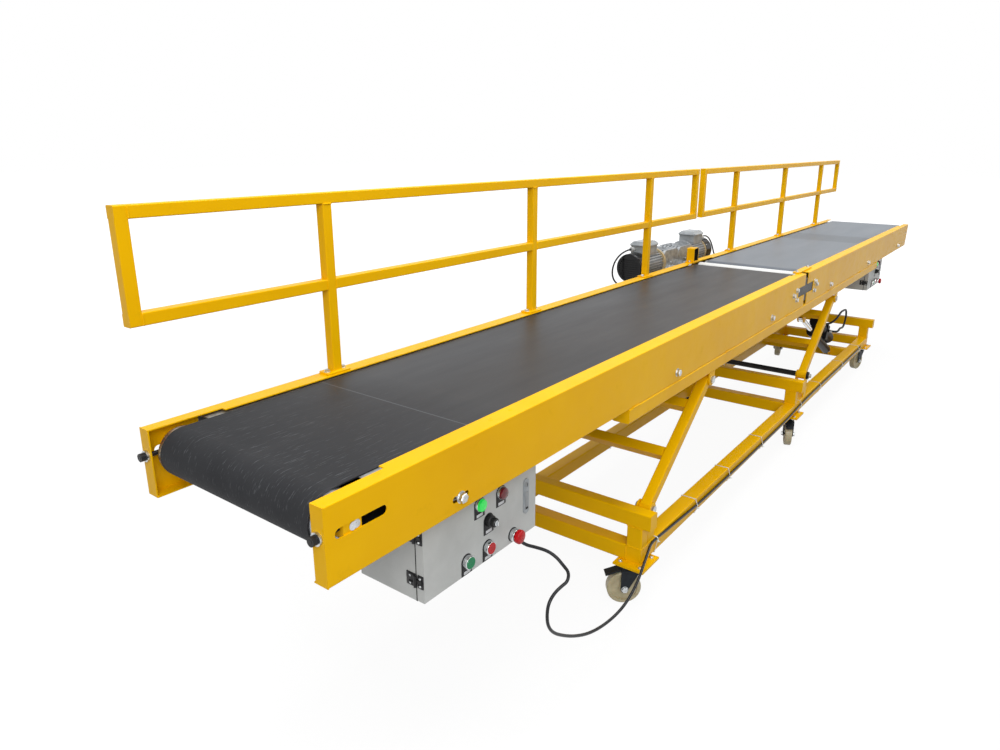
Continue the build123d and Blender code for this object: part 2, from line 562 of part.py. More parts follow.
# Sub-frame under the channels, with the lugs that the arms carry
nodes["subframe_rails"] = [
    tube_x(SUBFRAME_START, SUBFRAME_END, side * RAIL_Y, SUBFRAME_Z, CHASSIS_TUBE, SUBFRAME_HEIGHT, TUBE_WALL)
    for side in (-1, 1)]
nodes["subframe_cross_members"] = [
    tube_y(-rail_inside, rail_inside, x, SUBFRAME_Z, SUBFRAME_HEIGHT, SUBFRAME_HEIGHT, TUBE_WALL)
    for x in SUBFRAME_TIES]
top_lugs = []
top_pins = []
for pivot in (FRONT_PIVOT_X, REAR_PIVOT_X):
    x = pivot + ARM_RUN
    for side in (-1, 1):
        middle = side * RAIL_Y
        for shift in (-lug_y, lug_y):
            top_lugs.append(lug_plate(x, TOP_PIVOT_Z, SUBFRAME_Z, middle + shift, PIN_RADIUS))
        reach = lug_y + LUG / 2
        pin = round_y(x, TOP_PIVOT_Z, middle - reach, middle + reach, PIN_RADIUS)
        for end in (-1, 1):
            start, stop = sorted((middle + end * reach, middle + end * (reach + 8)))
            pin += round_y(x, TOP_PIVOT_Z, start, stop, PIN_RADIUS * 1.5)
        top_pins.append(pin)
nodes["arm_top_lugs"] = top_lugs
nodes["arm_top_pins"] = top_pins


def channel(x0, x1, side):
    """One folded side channel, open towards the belt."""
    face_points = (
        (HALF, CHANNEL_Z), (HALF, DECK_Z), (HALF - FLANGE, DECK_Z), (HALF - FLANGE, DECK_Z - SHEET),
        (WEB_INSIDE, DECK_Z - SHEET), (WEB_INSIDE, CHANNEL_Z + SHEET),
        (HALF - BOTTOM_FLANGE, CHANNEL_Z + SHEET), (HALF - BOTTOM_FLANGE, CHANNEL_Z))
    face = make_face(Plane.YZ * Polyline(*face_points, close=True))
    body = Pos(x0, 0, 0) * extrude(face, x1 - x0)
    corners = body.edges().filter_by(Axis.X).filter_by(lambda e: abs(e.center().Y - HALF) < 0.01)
    body = fillet(corners, FOLD_RADIUS / 2)
    if side < 0:
        body = mirror(body, Plane.XZ)
    return body


NOTCH_DEPTH = 110.0
NOTCH_HEIGHT = 50.0
SLOT_START = 25.0
SLOT_END = 158.0
SLOT_HEIGHT = 22.0
RETURN_SLOT = 56.0
TAIL_SLOT = (DECK_LENGTH - 90.0, DECK_LENGTH - 48.0)
web_middle = CHANNEL_Z + CHANNEL_HEIGHT / 2
for side_name, side in (("right", -1), ("left", 1)):
    outer, inner = side * (HALF + 5), side * (HALF - 20)
    y0, y1 = sorted((outer, inner))
    front = channel(0, SECTION_ENDS[0], side)
    inner_edge, end_edge, joint_edge = (side * (HALF - width) for width in (FLANGE + 1, END_FLANGE, JOINT_FLANGE))
    front -= block(-1, END_FLANGE_LENGTH, *sorted((inner_edge, end_edge)), DECK_Z - 2 * SHEET, DECK_Z + 1)
    front -= block(SECTION_ENDS[0] - JOINT_FLANGE_LENGTH[0], SECTION_ENDS[0] + 1,
                   *sorted((inner_edge, joint_edge)), DECK_Z - 2 * SHEET, DECK_Z + 1)
    cap_y0, cap_y1 = sorted((side * HALF, side * (HALF - END_FLANGE)))
    front += block(0, SHEET, cap_y0, cap_y1, CHANNEL_Z, DECK_Z)
    half_slot = SLOT_HEIGHT / 2
    front -= slot_y(SLOT_START, SLOT_END, AXLE_Z, SLOT_HEIGHT, y0, y1)
    for x in RETURNS["front"][1:]:
        front -= round_y(x, RETURN_Z, y0, y1, RETURN_AXLE_RADIUS + HOLE_PLAY)
    first_return = RETURNS["front"][0]
    front -= slot_y(first_return - RETURN_SLOT / 2, first_return + RETURN_SLOT / 2, RETURN_Z,
                    2 * (RETURN_AXLE_RADIUS + HOLE_PLAY), y0, y1)
    front -= round_x(side * (HALF - END_FLANGE / 2), AXLE_Z, -1, SHEET + 1, TENSION_RADIUS + HOLE_PLAY)
    front -= block(SECTION_ENDS[0] - NOTCH_DEPTH, SECTION_ENDS[0] + 1, y0, y1,
                   web_middle - NOTCH_HEIGHT / 2, web_middle + NOTCH_HEIGHT / 2)
    rear_part = channel(SECTION_ENDS[1], DECK_LENGTH, side)
    rear_part -= block(DECK_LENGTH - END_FLANGE_LENGTH, DECK_LENGTH + 1, *sorted((inner_edge, end_edge)),
                       DECK_Z - 2 * SHEET, DECK_Z + 1)
    rear_part -= block(SECTION_ENDS[1] - 1, SECTION_ENDS[1] + JOINT_FLANGE_LENGTH[1],
                       *sorted((inner_edge, joint_edge)), DECK_Z - 2 * SHEET, DECK_Z + 1)
    wedge = Polyline((DECK_LENGTH, DECK_Z + 1), (DECK_LENGTH + 1, DECK_Z + 1), (DECK_LENGTH + 1, CHANNEL_Z - 1),
                     (DECK_LENGTH - END_RAKE, CHANNEL_Z - 1), close=True)
    rear_part -= extrude(make_face(Plane.XZ * wedge), DECK_WIDTH, both=True)
    rear_part -= block(SECTION_ENDS[1] - 1, SECTION_ENDS[1] + NOTCH_DEPTH, y0, y1,
                       web_middle - NOTCH_HEIGHT / 2, web_middle + NOTCH_HEIGHT / 2)
    rear_part -= slot_y(*TAIL_SLOT, AXLE_Z, SLOT_HEIGHT, y0, y1)
    for x in RETURNS["rear"]:
        rear_part -= round_y(x, RETURN_Z, y0, y1, RETURN_AXLE_RADIUS + HOLE_PLAY)
    if side > 0:
        front -= round_y(DRIVE_X, AXLE_Z, y0, y1, SHAFT_END_RADIUS + HOLE_PLAY)
        rear_part -= round_y(SECOND_X, AXLE_Z, y0, y1, SHAFT_END_RADIUS + HOLE_PLAY)
    nodes["channel_front_" + side_name] = [front]
    nodes["channel_rear_" + side_name] = [rear_part]

# Connector plates that carry the webs across the gap, and the small plates on the top flanges
plates = []
for side in (-1, 1):
    y0, y1 = sorted((side * PLATE_INSIDE, side * WEB_INSIDE))
    plate = block(JOINT_X - CONNECTOR_REACH, JOINT_X + CONNECTOR_REACH, y0, y1, web_middle - 60, web_middle + 60)
    if side > 0:
        for x in (DRIVE_X, SECOND_X):
            plate -= round_y(x, AXLE_Z, y0 - 1, y1 + 1, SHAFT_END_RADIUS + HOLE_PLAY)
    plates.append(plate)
flange_plate = bar(Axis.Z, CONNECTOR_PLATE, JOINT_X - 65, JOINT_X + 170, -HALF + 26, -HALF + 60, DECK_Z, DECK_Z + 8)
nodes["connector_plates"] = plates + [flange_plate]

# Belts, drums, slider beds, return rollers and ties of the two sections


def belt_outline(first, last, returns, inset, width):
    """The solid inside a belt loop, inset from its outer face; the lower run rides on the return rollers."""
    run = extrude(make_face(Plane.XZ * Polyline(
        (first, AXLE_Z), (first, AXLE_Z - LOOP_RADIUS + inset),
        (returns[0] - WRAP, RETURN_Z + RETURN_RADIUS + inset),
        (returns[-1] + WRAP, RETURN_Z + RETURN_RADIUS + inset),
        (last, AXLE_Z - LOOP_RADIUS + inset), (last, AXLE_Z), close=True)), width / 2, both=True)
    run += block(first, last, -width / 2, width / 2, AXLE_Z, BELT_Z - inset)
    for x in (first, last):
        run += round_y(x, AXLE_Z, -width / 2, width / 2, LOOP_RADIUS - inset)
    return run


for name in ("drums", "slider_beds", "return_rollers", "deck_ties", "gearboxes", "terminal_boxes",
             "cable_glands", "tension_screws", "motor_cables"):
    nodes[name] = []
sections = (("front", INFEED_AXLE_X, DRIVE_X, 0.0, SECTION_ENDS[0]), ("rear", SECOND_X, TAIL_X, SECTION_ENDS[1], DECK_LENGTH))
for name, first, last, start, stop in sections:
    returns = RETURNS[name]
    outer = belt_outline(first, last, returns, 0, BELT_WIDTH)
    inner = belt_outline(first, last, returns, BELT_THICKNESS, BELT_WIDTH + 2)
    nodes["belt_" + name] = [outer - inner]
    for x in (first, last):
        half_drum = DRUM_LENGTH / 2
        drum = round_y(x, AXLE_Z, -half_drum, half_drum, DRUM_RADIUS)
        for y0, y1 in ((-half_drum, DRUM_RECESS - half_drum), (half_drum - DRUM_RECESS, half_drum)):
            drum -= round_y(x, AXLE_Z, y0, y1, DRUM_RADIUS - DRUM_RIM) - round_y(x, AXLE_Z, y0, y1, DRUM_HUB)
        drum += round_y(x, AXLE_Z, *DRUM_SHAFTS[x], SHAFT_END_RADIUS)
        nodes["drums"].append(drum)
    bed_z = BELT_Z - BELT_THICKNESS
    bed_start = max(first + LOOP_RADIUS + 10, JOINT_X + CONNECTOR_REACH) if name == "rear" else first + LOOP_RADIUS + 10
    bed_stop = min(last - LOOP_RADIUS - 10, JOINT_X - CONNECTOR_REACH) if name == "front" else last - LOOP_RADIUS - 10
    bed = block(bed_start, bed_stop, -WEB_INSIDE, WEB_INSIDE, bed_z - BED_SKIRT, bed_z)
    bed -= block(bed_start, bed_stop, -WEB_INSIDE + BED_SHEET, WEB_INSIDE - BED_SHEET, bed_z - BED_SKIRT, bed_z - BED_SHEET)
    nodes["slider_beds"].append(bed)
    nodes["return_rollers"] += [
        round_y(x, RETURN_Z, -BELT_WIDTH / 2 - 20, BELT_WIDTH / 2 + 20, RETURN_RADIUS)
        + round_y(x, RETURN_Z, -HALF, HALF, RETURN_AXLE_RADIUS) for x in returns]
    nodes["deck_ties"] += [
        tube_y(-WEB_INSIDE, WEB_INSIDE, x, CHANNEL_Z + SHEET, TIE, TIE, TIE_WALL, TIE_CORNER)
        for x in DECK_TIES[name]]

# Transfer roller between the belts, free to turn on its fixed axle
roller_z = BELT_Z - TRANSFER_RADIUS
roller = round_y(TRANSFER_X, roller_z, -DRUM_LENGTH / 2, DRUM_LENGTH / 2, TRANSFER_RADIUS)
roller -= round_y(TRANSFER_X, roller_z, -DRUM_LENGTH, DRUM_LENGTH, 8 + PIN_FIT)
nodes["transfer_roller"] = [roller]
nodes["transfer_axle"] = [round_y(TRANSFER_X, roller_z, -PLATE_INSIDE, PLATE_INSIDE, 8)]

# Railing frames on the left channels, with mitred looking corners and a foot under each post
rail_y = HALF - FLANGE / 2
rail_near, rail_far = rail_y - RAIL_TUBE / 2, rail_y + RAIL_TUBE / 2
half_rail = RAIL_TUBE / 2
for name, x0, x1, posts in RAILINGS:
    top_z = DECK_Z + RAIL_TOP - RAIL_TUBE
    mid_z = DECK_Z + RAIL_MID - RAIL_TUBE
    frame = bar(Axis.X, RAIL_CORNER, x0, x1, rail_near, rail_far, top_z, top_z + RAIL_TUBE)
    frame += bar(Axis.X, RAIL_CORNER, x0, x1, rail_near, rail_far, mid_z, mid_z + RAIL_TUBE)
    for x in (x0, x1 - RAIL_TUBE):
        frame += bar(Axis.Z, RAIL_CORNER, x, x + RAIL_TUBE, rail_near, rail_far, mid_z + half_rail, top_z + half_rail)
    for x in posts:
        frame += bar(Axis.Z, RAIL_CORNER, x - half_rail, x + half_rail, rail_near, rail_far,
                     DECK_Z + FOOT / 2, top_z + half_rail)
        frame += bar(Axis.Z, FOOT, x - FOOT_LENGTH / 2, x + FOOT_LENGTH / 2, HALF - FLANGE + 2, HALF - 2,
                     DECK_Z, DECK_Z + FOOT)
    nodes["railing_" + name] = [frame]

# Stub bracket on the left channel at the joint: a short tube open towards the belt, on its foot
STUB_FOOT = 75.0
STUB_WIDTH = 60.0
STUB_HEIGHT = 74.0
STUB_WALL = 4.0
stub_y0, stub_y1 = HALF - FLANGE + 4, HALF - 4
stub_z = DECK_Z + FOOT
stub = bar(Axis.Z, FOOT, JOINT_X - STUB_FOOT, JOINT_X + STUB_FOOT, HALF - FLANGE + 2, HALF - 2, DECK_Z, stub_z)
stub += bar(Axis.Y, STUB_WALL, JOINT_X - STUB_WIDTH, JOINT_X, stub_y0, stub_y1, stub_z - 1, stub_z + STUB_HEIGHT)
stub -= block(JOINT_X - STUB_WIDTH + STUB_WALL, JOINT_X - STUB_WALL, stub_y0 - 1, stub_y1 - STUB_WALL,
              stub_z + STUB_WALL, stub_z + STUB_HEIGHT - STUB_WALL)
nodes["stub_bracket"] = [stub]


def finned_case(start, stop):
    """The cast case of a motor along X: cooling fins all round a solid core."""
    points = []
    for index in range(FIN_COUNT):
        for share, radius in ((0.0, MOTOR_RADIUS), (FIN_SHARE, MOTOR_RADIUS),
                              (FIN_SHARE, MOTOR_RADIUS - FIN_DEPTH), (1.0, MOTOR_RADIUS - FIN_DEPTH)):
            turn = 2 * math.pi * (index + share) / FIN_COUNT
            points.append((radius * math.cos(turn), radius * math.sin(turn)))
    case = extrude(make_face(Plane.YZ * Polyline(*points, close=True)), stop - start)
    return Pos(start, 0, 0) * case


# Gearmotors on the left, one for each belt, back to back; each is drawn along X and turned to its side
for name, x, out in (("front", DRIVE_X, -1), ("rear", SECOND_X, 1)):
    y0, y1 = GEARBOX_Y - GEARBOX_WIDTH / 2, GEARBOX_Y + GEARBOX_WIDTH / 2
    worm_z = AXLE_Z + WORM_OFFSET
    low_z, high_z = AXLE_Z - GEARBOX_BELOW_AXLE, worm_z + GEARBOX_ABOVE_WORM
    housing = block(x - GEARBOX_LENGTH / 2, x + GEARBOX_LENGTH / 2, y0, y1, low_z, high_z)
    housing = fillet(housing.edges().filter_by(Axis.Y), GEARBOX_CORNER)
    for rib in (-2, -1, 0, 1, 2):
        groove_y = GEARBOX_Y + rib * GEARBOX_WIDTH / 6
        housing -= block(x - GEARBOX_LENGTH, x + GEARBOX_LENGTH, groove_y - 5, groove_y + 5, high_z - 6, high_z + 1)
    housing += round_y(x, AXLE_Z, HALF, y0, GEARBOX_BOSS)
    housing += round_y(x, AXLE_Z, y1, y1 + 7, GEARBOX_BOSS + 8)
    nodes["gearboxes"].append(housing)
    case = finned_case(MOTOR_FLANGE, MOTOR_LENGTH)
    case += round_x(0, 0, 0, MOTOR_FLANGE, MOTOR_FLANGE_RADIUS)
    cowl = round_x(0, 0, MOTOR_LENGTH, COWL_END, COWL_RADIUS)
    rim = cowl.edges().filter_by(GeomType.CIRCLE).sort_by(Axis.X)[-1]
    cowl = fillet(rim, COWL_ROUNDING)
    for line in (-4, -3, -2, -1, 0, 1, 2, 3, 4):
        height = line * GRILLE_PITCH
        reach = math.sqrt(GRILLE_RADIUS ** 2 - height ** 2)
        half_slit = (GRILLE_PITCH - GRILLE_BAR) / 2
        cowl -= block(COWL_END - GRILLE_DEPTH, COWL_END + 1, -reach, reach, height - half_slit, height + half_slit)
    case += cowl
    case += block(TERMINAL[0] + TERMINAL_RIM, TERMINAL[1] - TERMINAL_RIM, -TERMINAL[2] + TERMINAL_RIM,
                  TERMINAL[2] - TERMINAL_RIM, MOTOR_RADIUS - 2 * FIN_DEPTH, MOTOR_RADIUS)
    place = Pos(x + out * GEARBOX_LENGTH / 2, GEARBOX_Y, worm_z) * Rot(0, 0, 0 if out > 0 else 180)
    nodes["motor_" + name] = [place * case]
    start, stop, half, base, lid = TERMINAL
    terminal = block(start + TERMINAL_RIM, stop - TERMINAL_RIM, TERMINAL_RIM - half, half - TERMINAL_RIM,
                     MOTOR_RADIUS, MOTOR_RADIUS + base)
    cover = Box(stop - start, 2 * half, lid)
    cover = chamfer(cover.faces().sort_by(Axis.Z)[-1].edges(), lid - 5)
    cover = chamfer(cover.edges().filter_by(Axis.Z), 10)
    terminal += Pos((start + stop) / 2, 0, MOTOR_RADIUS + base + lid / 2) * cover
    nodes["terminal_boxes"].append(place * terminal)
    gland_x = stop - TERMINAL_RIM
    gland_z = MOTOR_RADIUS + base / 2
    gland = round_x(MOTOR_GLAND_SIDE, gland_z, gland_x, gland_x + GLAND_LENGTH, GLAND_RADIUS)
    nodes["cable_glands"].append(place * gland)
    mouth_x = x + out * (GEARBOX_LENGTH / 2 + gland_x + GLAND_LENGTH)
    mouth_y = GEARBOX_Y + out * MOTOR_GLAND_SIDE
    lead = [(mouth_x + out * dx, mouth_y + dy, worm_z + gland_z + dz) for dx, dy, dz in LEADS[name]]
    nodes["motor_cables"].append(cable("lead_" + name, lead, LEAD_RADIUS))
    nodes["channel_" + name + "_left"][0] -= round_y(lead[-1][0], lead[-1][2], HALF - 2 * SHEET, HALF + 1,
                                                     LEAD_RADIUS + SHEET)

# Belt tension screws through the front caps, each with the bearing block that it pulls
tension_y = HALF - END_FLANGE / 2
block_y0, block_y1 = HALF - DRUM_SIDE_GAP + BEARING_GAP, WEB_INSIDE
for side in (-1, 1):
    screw = round_x(side * tension_y, AXLE_Z, -18, INFEED_AXLE_X - BEARING_BLOCK / 2 + 1, TENSION_RADIUS)
    screw += round_x(side * tension_y, AXLE_Z, -18, -6, 10)
    screw += round_x(side * tension_y, AXLE_Z, -6, 0, 14)
    bearing = bar(Axis.Y, TUBE_CORNER, INFEED_AXLE_X - BEARING_BLOCK / 2, INFEED_AXLE_X + BEARING_BLOCK / 2,
                  *sorted((side * block_y0, side * block_y1)), AXLE_Z - BEARING_BLOCK / 2, AXLE_Z + BEARING_BLOCK / 2)
    bearing -= round_y(INFEED_AXLE_X, AXLE_Z, *sorted((side * (block_y0 - 1), side * HALF)), SHAFT_END_RADIUS + PIN_FIT)
    nodes["tension_screws"].append(screw + bearing)

# Control boxes with hinged doors
box_top = CHANNEL_Z + SHEET
box_low = box_top - BOX_HEIGHT
back_y = DOOR_FACE_Y + DOOR_DEPTH + 1 + BOX_DEPTH
hinge_places = {}
for name, x0 in (("near", NEAR_BOX_X), ("far", FAR_BOX_X)):
    x1 = x0 + BOX_WIDTH
    front_y = DOOR_FACE_Y + DOOR_DEPTH + 1
    shell = block(x0, x1, front_y, back_y, box_low, box_top)
    shell -= block(x0 + BOX_WALL, x1 - BOX_WALL, front_y - 1, back_y - BOX_WALL, box_low + BOX_WALL, box_top - BOX_WALL)
    door_top = CHANNEL_Z - 5.5
    door_low = box_low + 1
    door = block(x0, x1, DOOR_FACE_Y, DOOR_FACE_Y + DOOR_DEPTH, door_low, door_top)
    door -= block(x0 + BOX_WALL, x1 - BOX_WALL, DOOR_FACE_Y + BOX_WALL, front_y, door_low + BOX_WALL, door_top - BOX_WALL)
    hinge_x = x0 - HINGE_OFFSET
    hinge_y = front_y - 0.5
    for z in (door_low + 40, door_top - 70):
        for a, b in ((0, 10), (20.4, 30)):
            shell += round_z(hinge_x, hinge_y, z + a, z + b, 4.5)
            shell += block(hinge_x, x0, hinge_y + 1, front_y + 22, z + a, z + b)
        shell += round_z(hinge_x, hinge_y, z, z + 30, 2)
        knuckle = round_z(hinge_x, hinge_y, z + 10.2, z + 20.2, 4.5)
        knuckle += block(hinge_x, x0, hinge_y - 20, hinge_y, z + 10.2, z + 20.2)
        knuckle -= round_z(hinge_x, hinge_y, z, z + 30, 2 + PIN_FIT)
        door += knuckle
    for kind, distance, height, radius, stand in CONTROLS:
        control_x, control_z = x0 + distance, box_low + height
        bezel_y = DOOR_FACE_Y - BEZEL_DEPTH
        door += round_y(control_x, control_z, bezel_y, DOOR_FACE_Y + 1, BEZEL_RADIUS)
        if kind == "mushroom":
            door += round_y(control_x, control_z, bezel_y - stand + 10, bezel_y, radius / 2)
            door += round_y(control_x, control_z, bezel_y - stand, bezel_y - stand + 10, radius)
        else:
            door += round_y(control_x, control_z, bezel_y - stand, bezel_y, radius)
    distance, height, width, length, depth = LATCH
    door += bar(Axis.Y, width / 2 - 1, x0 + distance - width / 2, x0 + distance + width / 2,
                DOOR_FACE_Y - depth, DOOR_FACE_Y + 1, box_low + height, box_low + height + length)
    nodes["control_box_" + name] = [shell]
    nodes["control_door_" + name] = [door]
    hinge_places[name] = (hinge_x, hinge_y, (door_low + door_top) / 2)

# The supply cable from the near control box to the rail and along it
gland_at = drawn(*HANGING[0])
nodes["cable_glands"].append(round_z(gland_at[0], gland_at[1], box_low - GLAND_LENGTH, box_low, GLAND_RADIUS))
nodes["cable_hanging"] = [cable("hanging", [drawn(*point) for point in HANGING], CABLE_RADIUS)]
nodes["cable_on_rail"] = [cable("on_rail", [drawn(*point) for point in ON_RAIL], CABLE_RADIUS)]

# Put the origin in the middle of the footprint, on the floor; the free cable doesn't count
boxes = [shape.bounding_box() for name, shapes in nodes.items() if name != "cable_hanging" for shape in shapes]
low_corner = Vector(min(b.min.X for b in boxes), min(b.min.Y for b in boxes), min(b.min.Z for b in boxes))
high_corner = Vector(max(b.max.X for b in boxes), max(b.max.Y for b in boxes), max(b.max.Z for b in boxes))
shift = Location((-(low_corner.X + high_corner.X) / 2, -(low_corner.Y + high_corner.Y) / 2, -low_corner.Z))
os.makedirs("parts", exist_ok=True)
for name, shapes in nodes.items():
    moved = [shape.moved(shift) for shape in shapes]
    piece = moved[0] if len(moved) == 1 else Compound(children=moved)
    export_step(piece, "parts/" + name + ".step")

# Places that the record states, in millimetres in the finished frame
offset = shift.position


def tell(name, x, y, z, extra=""):
    """Print one place in the finished frame."""
    print("place", name, round(x + offset.X, 3), round(y + offset.Y, 3), round(z + offset.Z, 3), extra)


size = high_corner - low_corner
print("nodes", len(nodes), "box", size.X, size.Y, size.Z, "offset", offset.X, offset.Y)
tell("front_arm_pivot", FRONT_PIVOT_X, 0, PIVOT_Z)
tell("rear_arm_pivot", REAR_PIVOT_X, 0, PIVOT_Z)
tell("front_top_pivot", FRONT_PIVOT_X + ARM_RUN, 0, TOP_PIVOT_Z)
tell("ram_base", RAM_BASE_X, RAM_Y, RAM_BASE_ABOVE_FLOOR, ram_angle)
tell("ram_eye", eye_x, RAM_Y, eye_z, ram_length)
tell("transfer_roller", TRANSFER_X, 0, roller_z)
for name, place in swivel_places.items():
    tell("swivel_" + name, *place)
for name, place in axle_places.items():
    tell("axle_" + name, *place)
for name, place in hinge_places.items():
    tell("hinge_" + name, *place)
tell("origin_of_deck", 0, 0, DECK_Z)
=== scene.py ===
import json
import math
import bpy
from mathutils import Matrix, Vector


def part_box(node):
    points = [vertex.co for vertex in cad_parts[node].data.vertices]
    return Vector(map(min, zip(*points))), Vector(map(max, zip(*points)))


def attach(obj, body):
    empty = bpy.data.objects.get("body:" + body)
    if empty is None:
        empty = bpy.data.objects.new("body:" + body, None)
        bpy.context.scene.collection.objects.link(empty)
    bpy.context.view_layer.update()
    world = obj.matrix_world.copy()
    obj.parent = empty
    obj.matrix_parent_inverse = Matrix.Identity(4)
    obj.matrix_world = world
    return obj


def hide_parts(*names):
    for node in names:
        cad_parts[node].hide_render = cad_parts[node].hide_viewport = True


bl_info = {
    "name": "Mobile belt conveyor",
    "version": (1, 0, 0),
    "blender": (4, 5, 0),
    "location": "3D View > Sidebar > Conveyor",
    "description": "Finishes, fasteners, controls, cables and the studio of a mobile belt conveyor",
    "category": "Object",
}

import bmesh
import bpy
from bpy.props import FloatProperty, FloatVectorProperty, PointerProperty
from mathutils import Matrix, Vector

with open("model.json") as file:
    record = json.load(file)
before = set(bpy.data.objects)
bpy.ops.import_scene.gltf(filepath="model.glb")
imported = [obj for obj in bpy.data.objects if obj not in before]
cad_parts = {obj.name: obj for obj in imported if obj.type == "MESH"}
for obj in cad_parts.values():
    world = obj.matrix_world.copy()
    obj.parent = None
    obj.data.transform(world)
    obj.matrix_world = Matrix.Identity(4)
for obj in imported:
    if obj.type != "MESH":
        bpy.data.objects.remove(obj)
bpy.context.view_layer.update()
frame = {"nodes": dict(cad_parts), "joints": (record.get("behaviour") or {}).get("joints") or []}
MM = 0.001

# Places are given in millimetres from the infeed end, the belt's centre line and the floor.
WEB_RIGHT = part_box("channel_front_right")
WEB_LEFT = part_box("channel_front_left")
INFEED_X = WEB_RIGHT[0].x
CENTRE_Y = (WEB_RIGHT[0].y + WEB_LEFT[1].y) / 2
HALF = (WEB_LEFT[1].y - WEB_RIGHT[0].y) / 2 / MM
DECK_Z = WEB_RIGHT[1].z / MM
CHANNEL_Z = WEB_RIGHT[0].z / MM
FLANGE = 52.0
FOOT = 6.0
TUBE_HALF = 30.0
UPRIGHT = 50.0
CROSS_TUBE = 60.0
RAILING_TUBE = 30.0

# Heights and rows that several groups of pieces share
AXLE_Z = DECK_Z - 67.0
RETURN_Z = DECK_Z - 136.0
RAIL_Y = HALF + 2 - TUBE_HALF
RAIL_LOW = 168.0
RAIL_HIGH = 228.0
BEAM_Z = 308.0
SUBFRAME_Z = CHANNEL_Z - 50.0
POST_Y = HALF - FLANGE / 2
POST_HALF = RAILING_TUBE / 2
JOINT_X = 3135.0

POSTS = {"front": (555.0, 1538.0, 2523.0), "rear": (3694.0, 4666.0, 5622.0)}
RAILING_ENDS = {"front": (-5.0, 3087.0), "rear": (3165.0, 6155.0)}
MID_RAIL_Z = DECK_Z + 243.0
TOP_RAIL_Z = DECK_Z + 478.0
RETURN_AXLES = (383.0, 1551.0, 2596.0, 3658.0, 4660.0, 5762.0)
STATIONS = (1339.0, 3177.0, 4980.0)
CROSS_MEMBERS = (1339.0, 3177.0, 4560.0, 4970.0)
PIVOTS = (1420.0, 3370.0)
PIVOT_Z = 353.0
SUBFRAME_MEMBERS = (1197.0, 2000.0, 3110.0, 4000.0, 4936.0)
SUBFRAME_SEATS = (1197.0, 2000.0, 2800.0, 3600.0, 4400.0, 4890.0)
CASTORS = ("front_right", "middle_right", "rear_right", "front_left", "middle_left", "rear_left")

# Drives: name, axle across the deck, the way its motor points
DRIVES = (("front", 3073.0, -1), ("rear", 3267.0, 1))
DRIVE_Y = HALF + 88.0 + 65.0
WORM_Z = AXLE_Z + 66.0
GEARBOX_HALF = 94.0
CASE_END = 206.0
MOTOR_FLANGE = 14.5
TERMINAL_BOX = (52.0, 192.0)
LID_SEAM_Z = WORM_Z + 108.0

# Heads of the hexagon bolts, as width across the flats
JOINT_HEAD = 19
FOOT_HEAD = 13
CASTOR_HEAD = 11
BRACKET_HEAD = 10
COVER_HEAD = 8

# Control boxes: name and the hinge edge
BOXES = (("near", 310.0), ("far", 5053.0))
BOX_WIDTH = 450.0
DOOR_Y = 55.0 - HALF
BOX_LOW = CHANNEL_Z + 3.0 - 235.0
BOX_FRONT_Y = DOOR_Y + 24.0
# Controls on each door: kind, distance from the hinge edge, height over the underside, radius
CONTROLS = (
    ("green_lamp", 204.0, 174.0, 11.5),
    ("red_lamp", 292.0, 171.0, 11.5),
    ("knob", 240.0, 114.0, 9.5),
    ("mushroom", 344.0, 25.0, 19.0),
    ("red_button", 235.0, 40.0, 10.5),
    ("green_button", 152.0, 39.0, 10.5),
)
BEZEL_REACH = 5.0
BEZEL_RADIUS = 15.5
LATCH_X = 402.0

# The ram, from its base pin to the rod's eye
RAM_BASE = Vector((4530.0, -160.0, 208.0))
RAM_EYE = Vector((3765.251, -160.0, 586.961))

# Routes of the free cables, as control points
HANGING = (
    (742, -225, 547.25), (744, -225, 519), (762, -236, 497), (787, -256, 484), (809, -281, 471),
    (820, -306, 454), (824, -328, 432), (836, -340, 408), (826, -343, 384), (792, -344, 387),
    (752, -345, 386), (724, -345, 370), (716, -345, 338), (720, -346, 298), (745, -348, 260),
    (790, -352, 225), (852, -357, 186), (930, -364, 152), (1018, -372, 137), (1105, -380, 143),
    (1180, -380, 165), (1240, -374, 192), (1296, -362, 213), (1352, -348, 223),
    (1404, -333.309, 227.08), (1431, -333, 226),
)
# Steps away from each motor's gland: along the deck, across it and up
LEADS = {
    "front": (
        (0, 0, 0), (31, 0, 0), (66, 2, -4), (101, 10, -18), (126, 22, -44), (139, 31, -82),
        (141, 32, -122), (135, 21, -157), (122, -12, -184), (108, -62, -199), (101, -120, -204),
        (100, -196, -205),
    ),
    "rear": (
        (0, 0, 0), (31, 0, 0), (66, -1, -3), (101, -5, -17), (127, -12, -44), (139, -21, -80),
        (141, -32, -118), (139, -52, -152), (135, -82, -176), (131, -124, -186),
    ),
}
GLAND_MOUTH = (206.0, -36.0, 89.5)
# From the ram's base pin: along the ram, across it and above its axis
HOSE = (
    (470, -46, 76), (470, -66, 76), (468, -90, 90), (455, -106, 115), (430, -112, 142),
    (394, -111, 170), (348, -106, 195), (293, -100, 219), (231, -93, 241), (169, -86, 262),
    (116, -81, 279), (77, -78, 291), (48, -76, 293), (21, -75, 284), (0, -74, 263), (-9, -73, 237),
    (-4, -73, 207), (12, -73, 184), (37, -74, 170), (78, -76, 158), (138, -80, 138), (186, -87, 115),
    (228, -91, 98), (252, -92, 88.4), (264, -87, 83.6), (273, -77, 79.9), (278, -64, 78), (278, -50, 78),
)


def at(x, y, z):
    """The frame's point, in metres, of a place on the conveyor in millimetres."""
    return Vector((INFEED_X + x * MM, CENTRE_Y + y * MM, z * MM))


def place_of(point):
    """The place on the conveyor, in millimetres, of a point of the frame."""
    return Vector(((point.x - INFEED_X) / MM, (point.y - CENTRE_Y) / MM, point.z / MM))


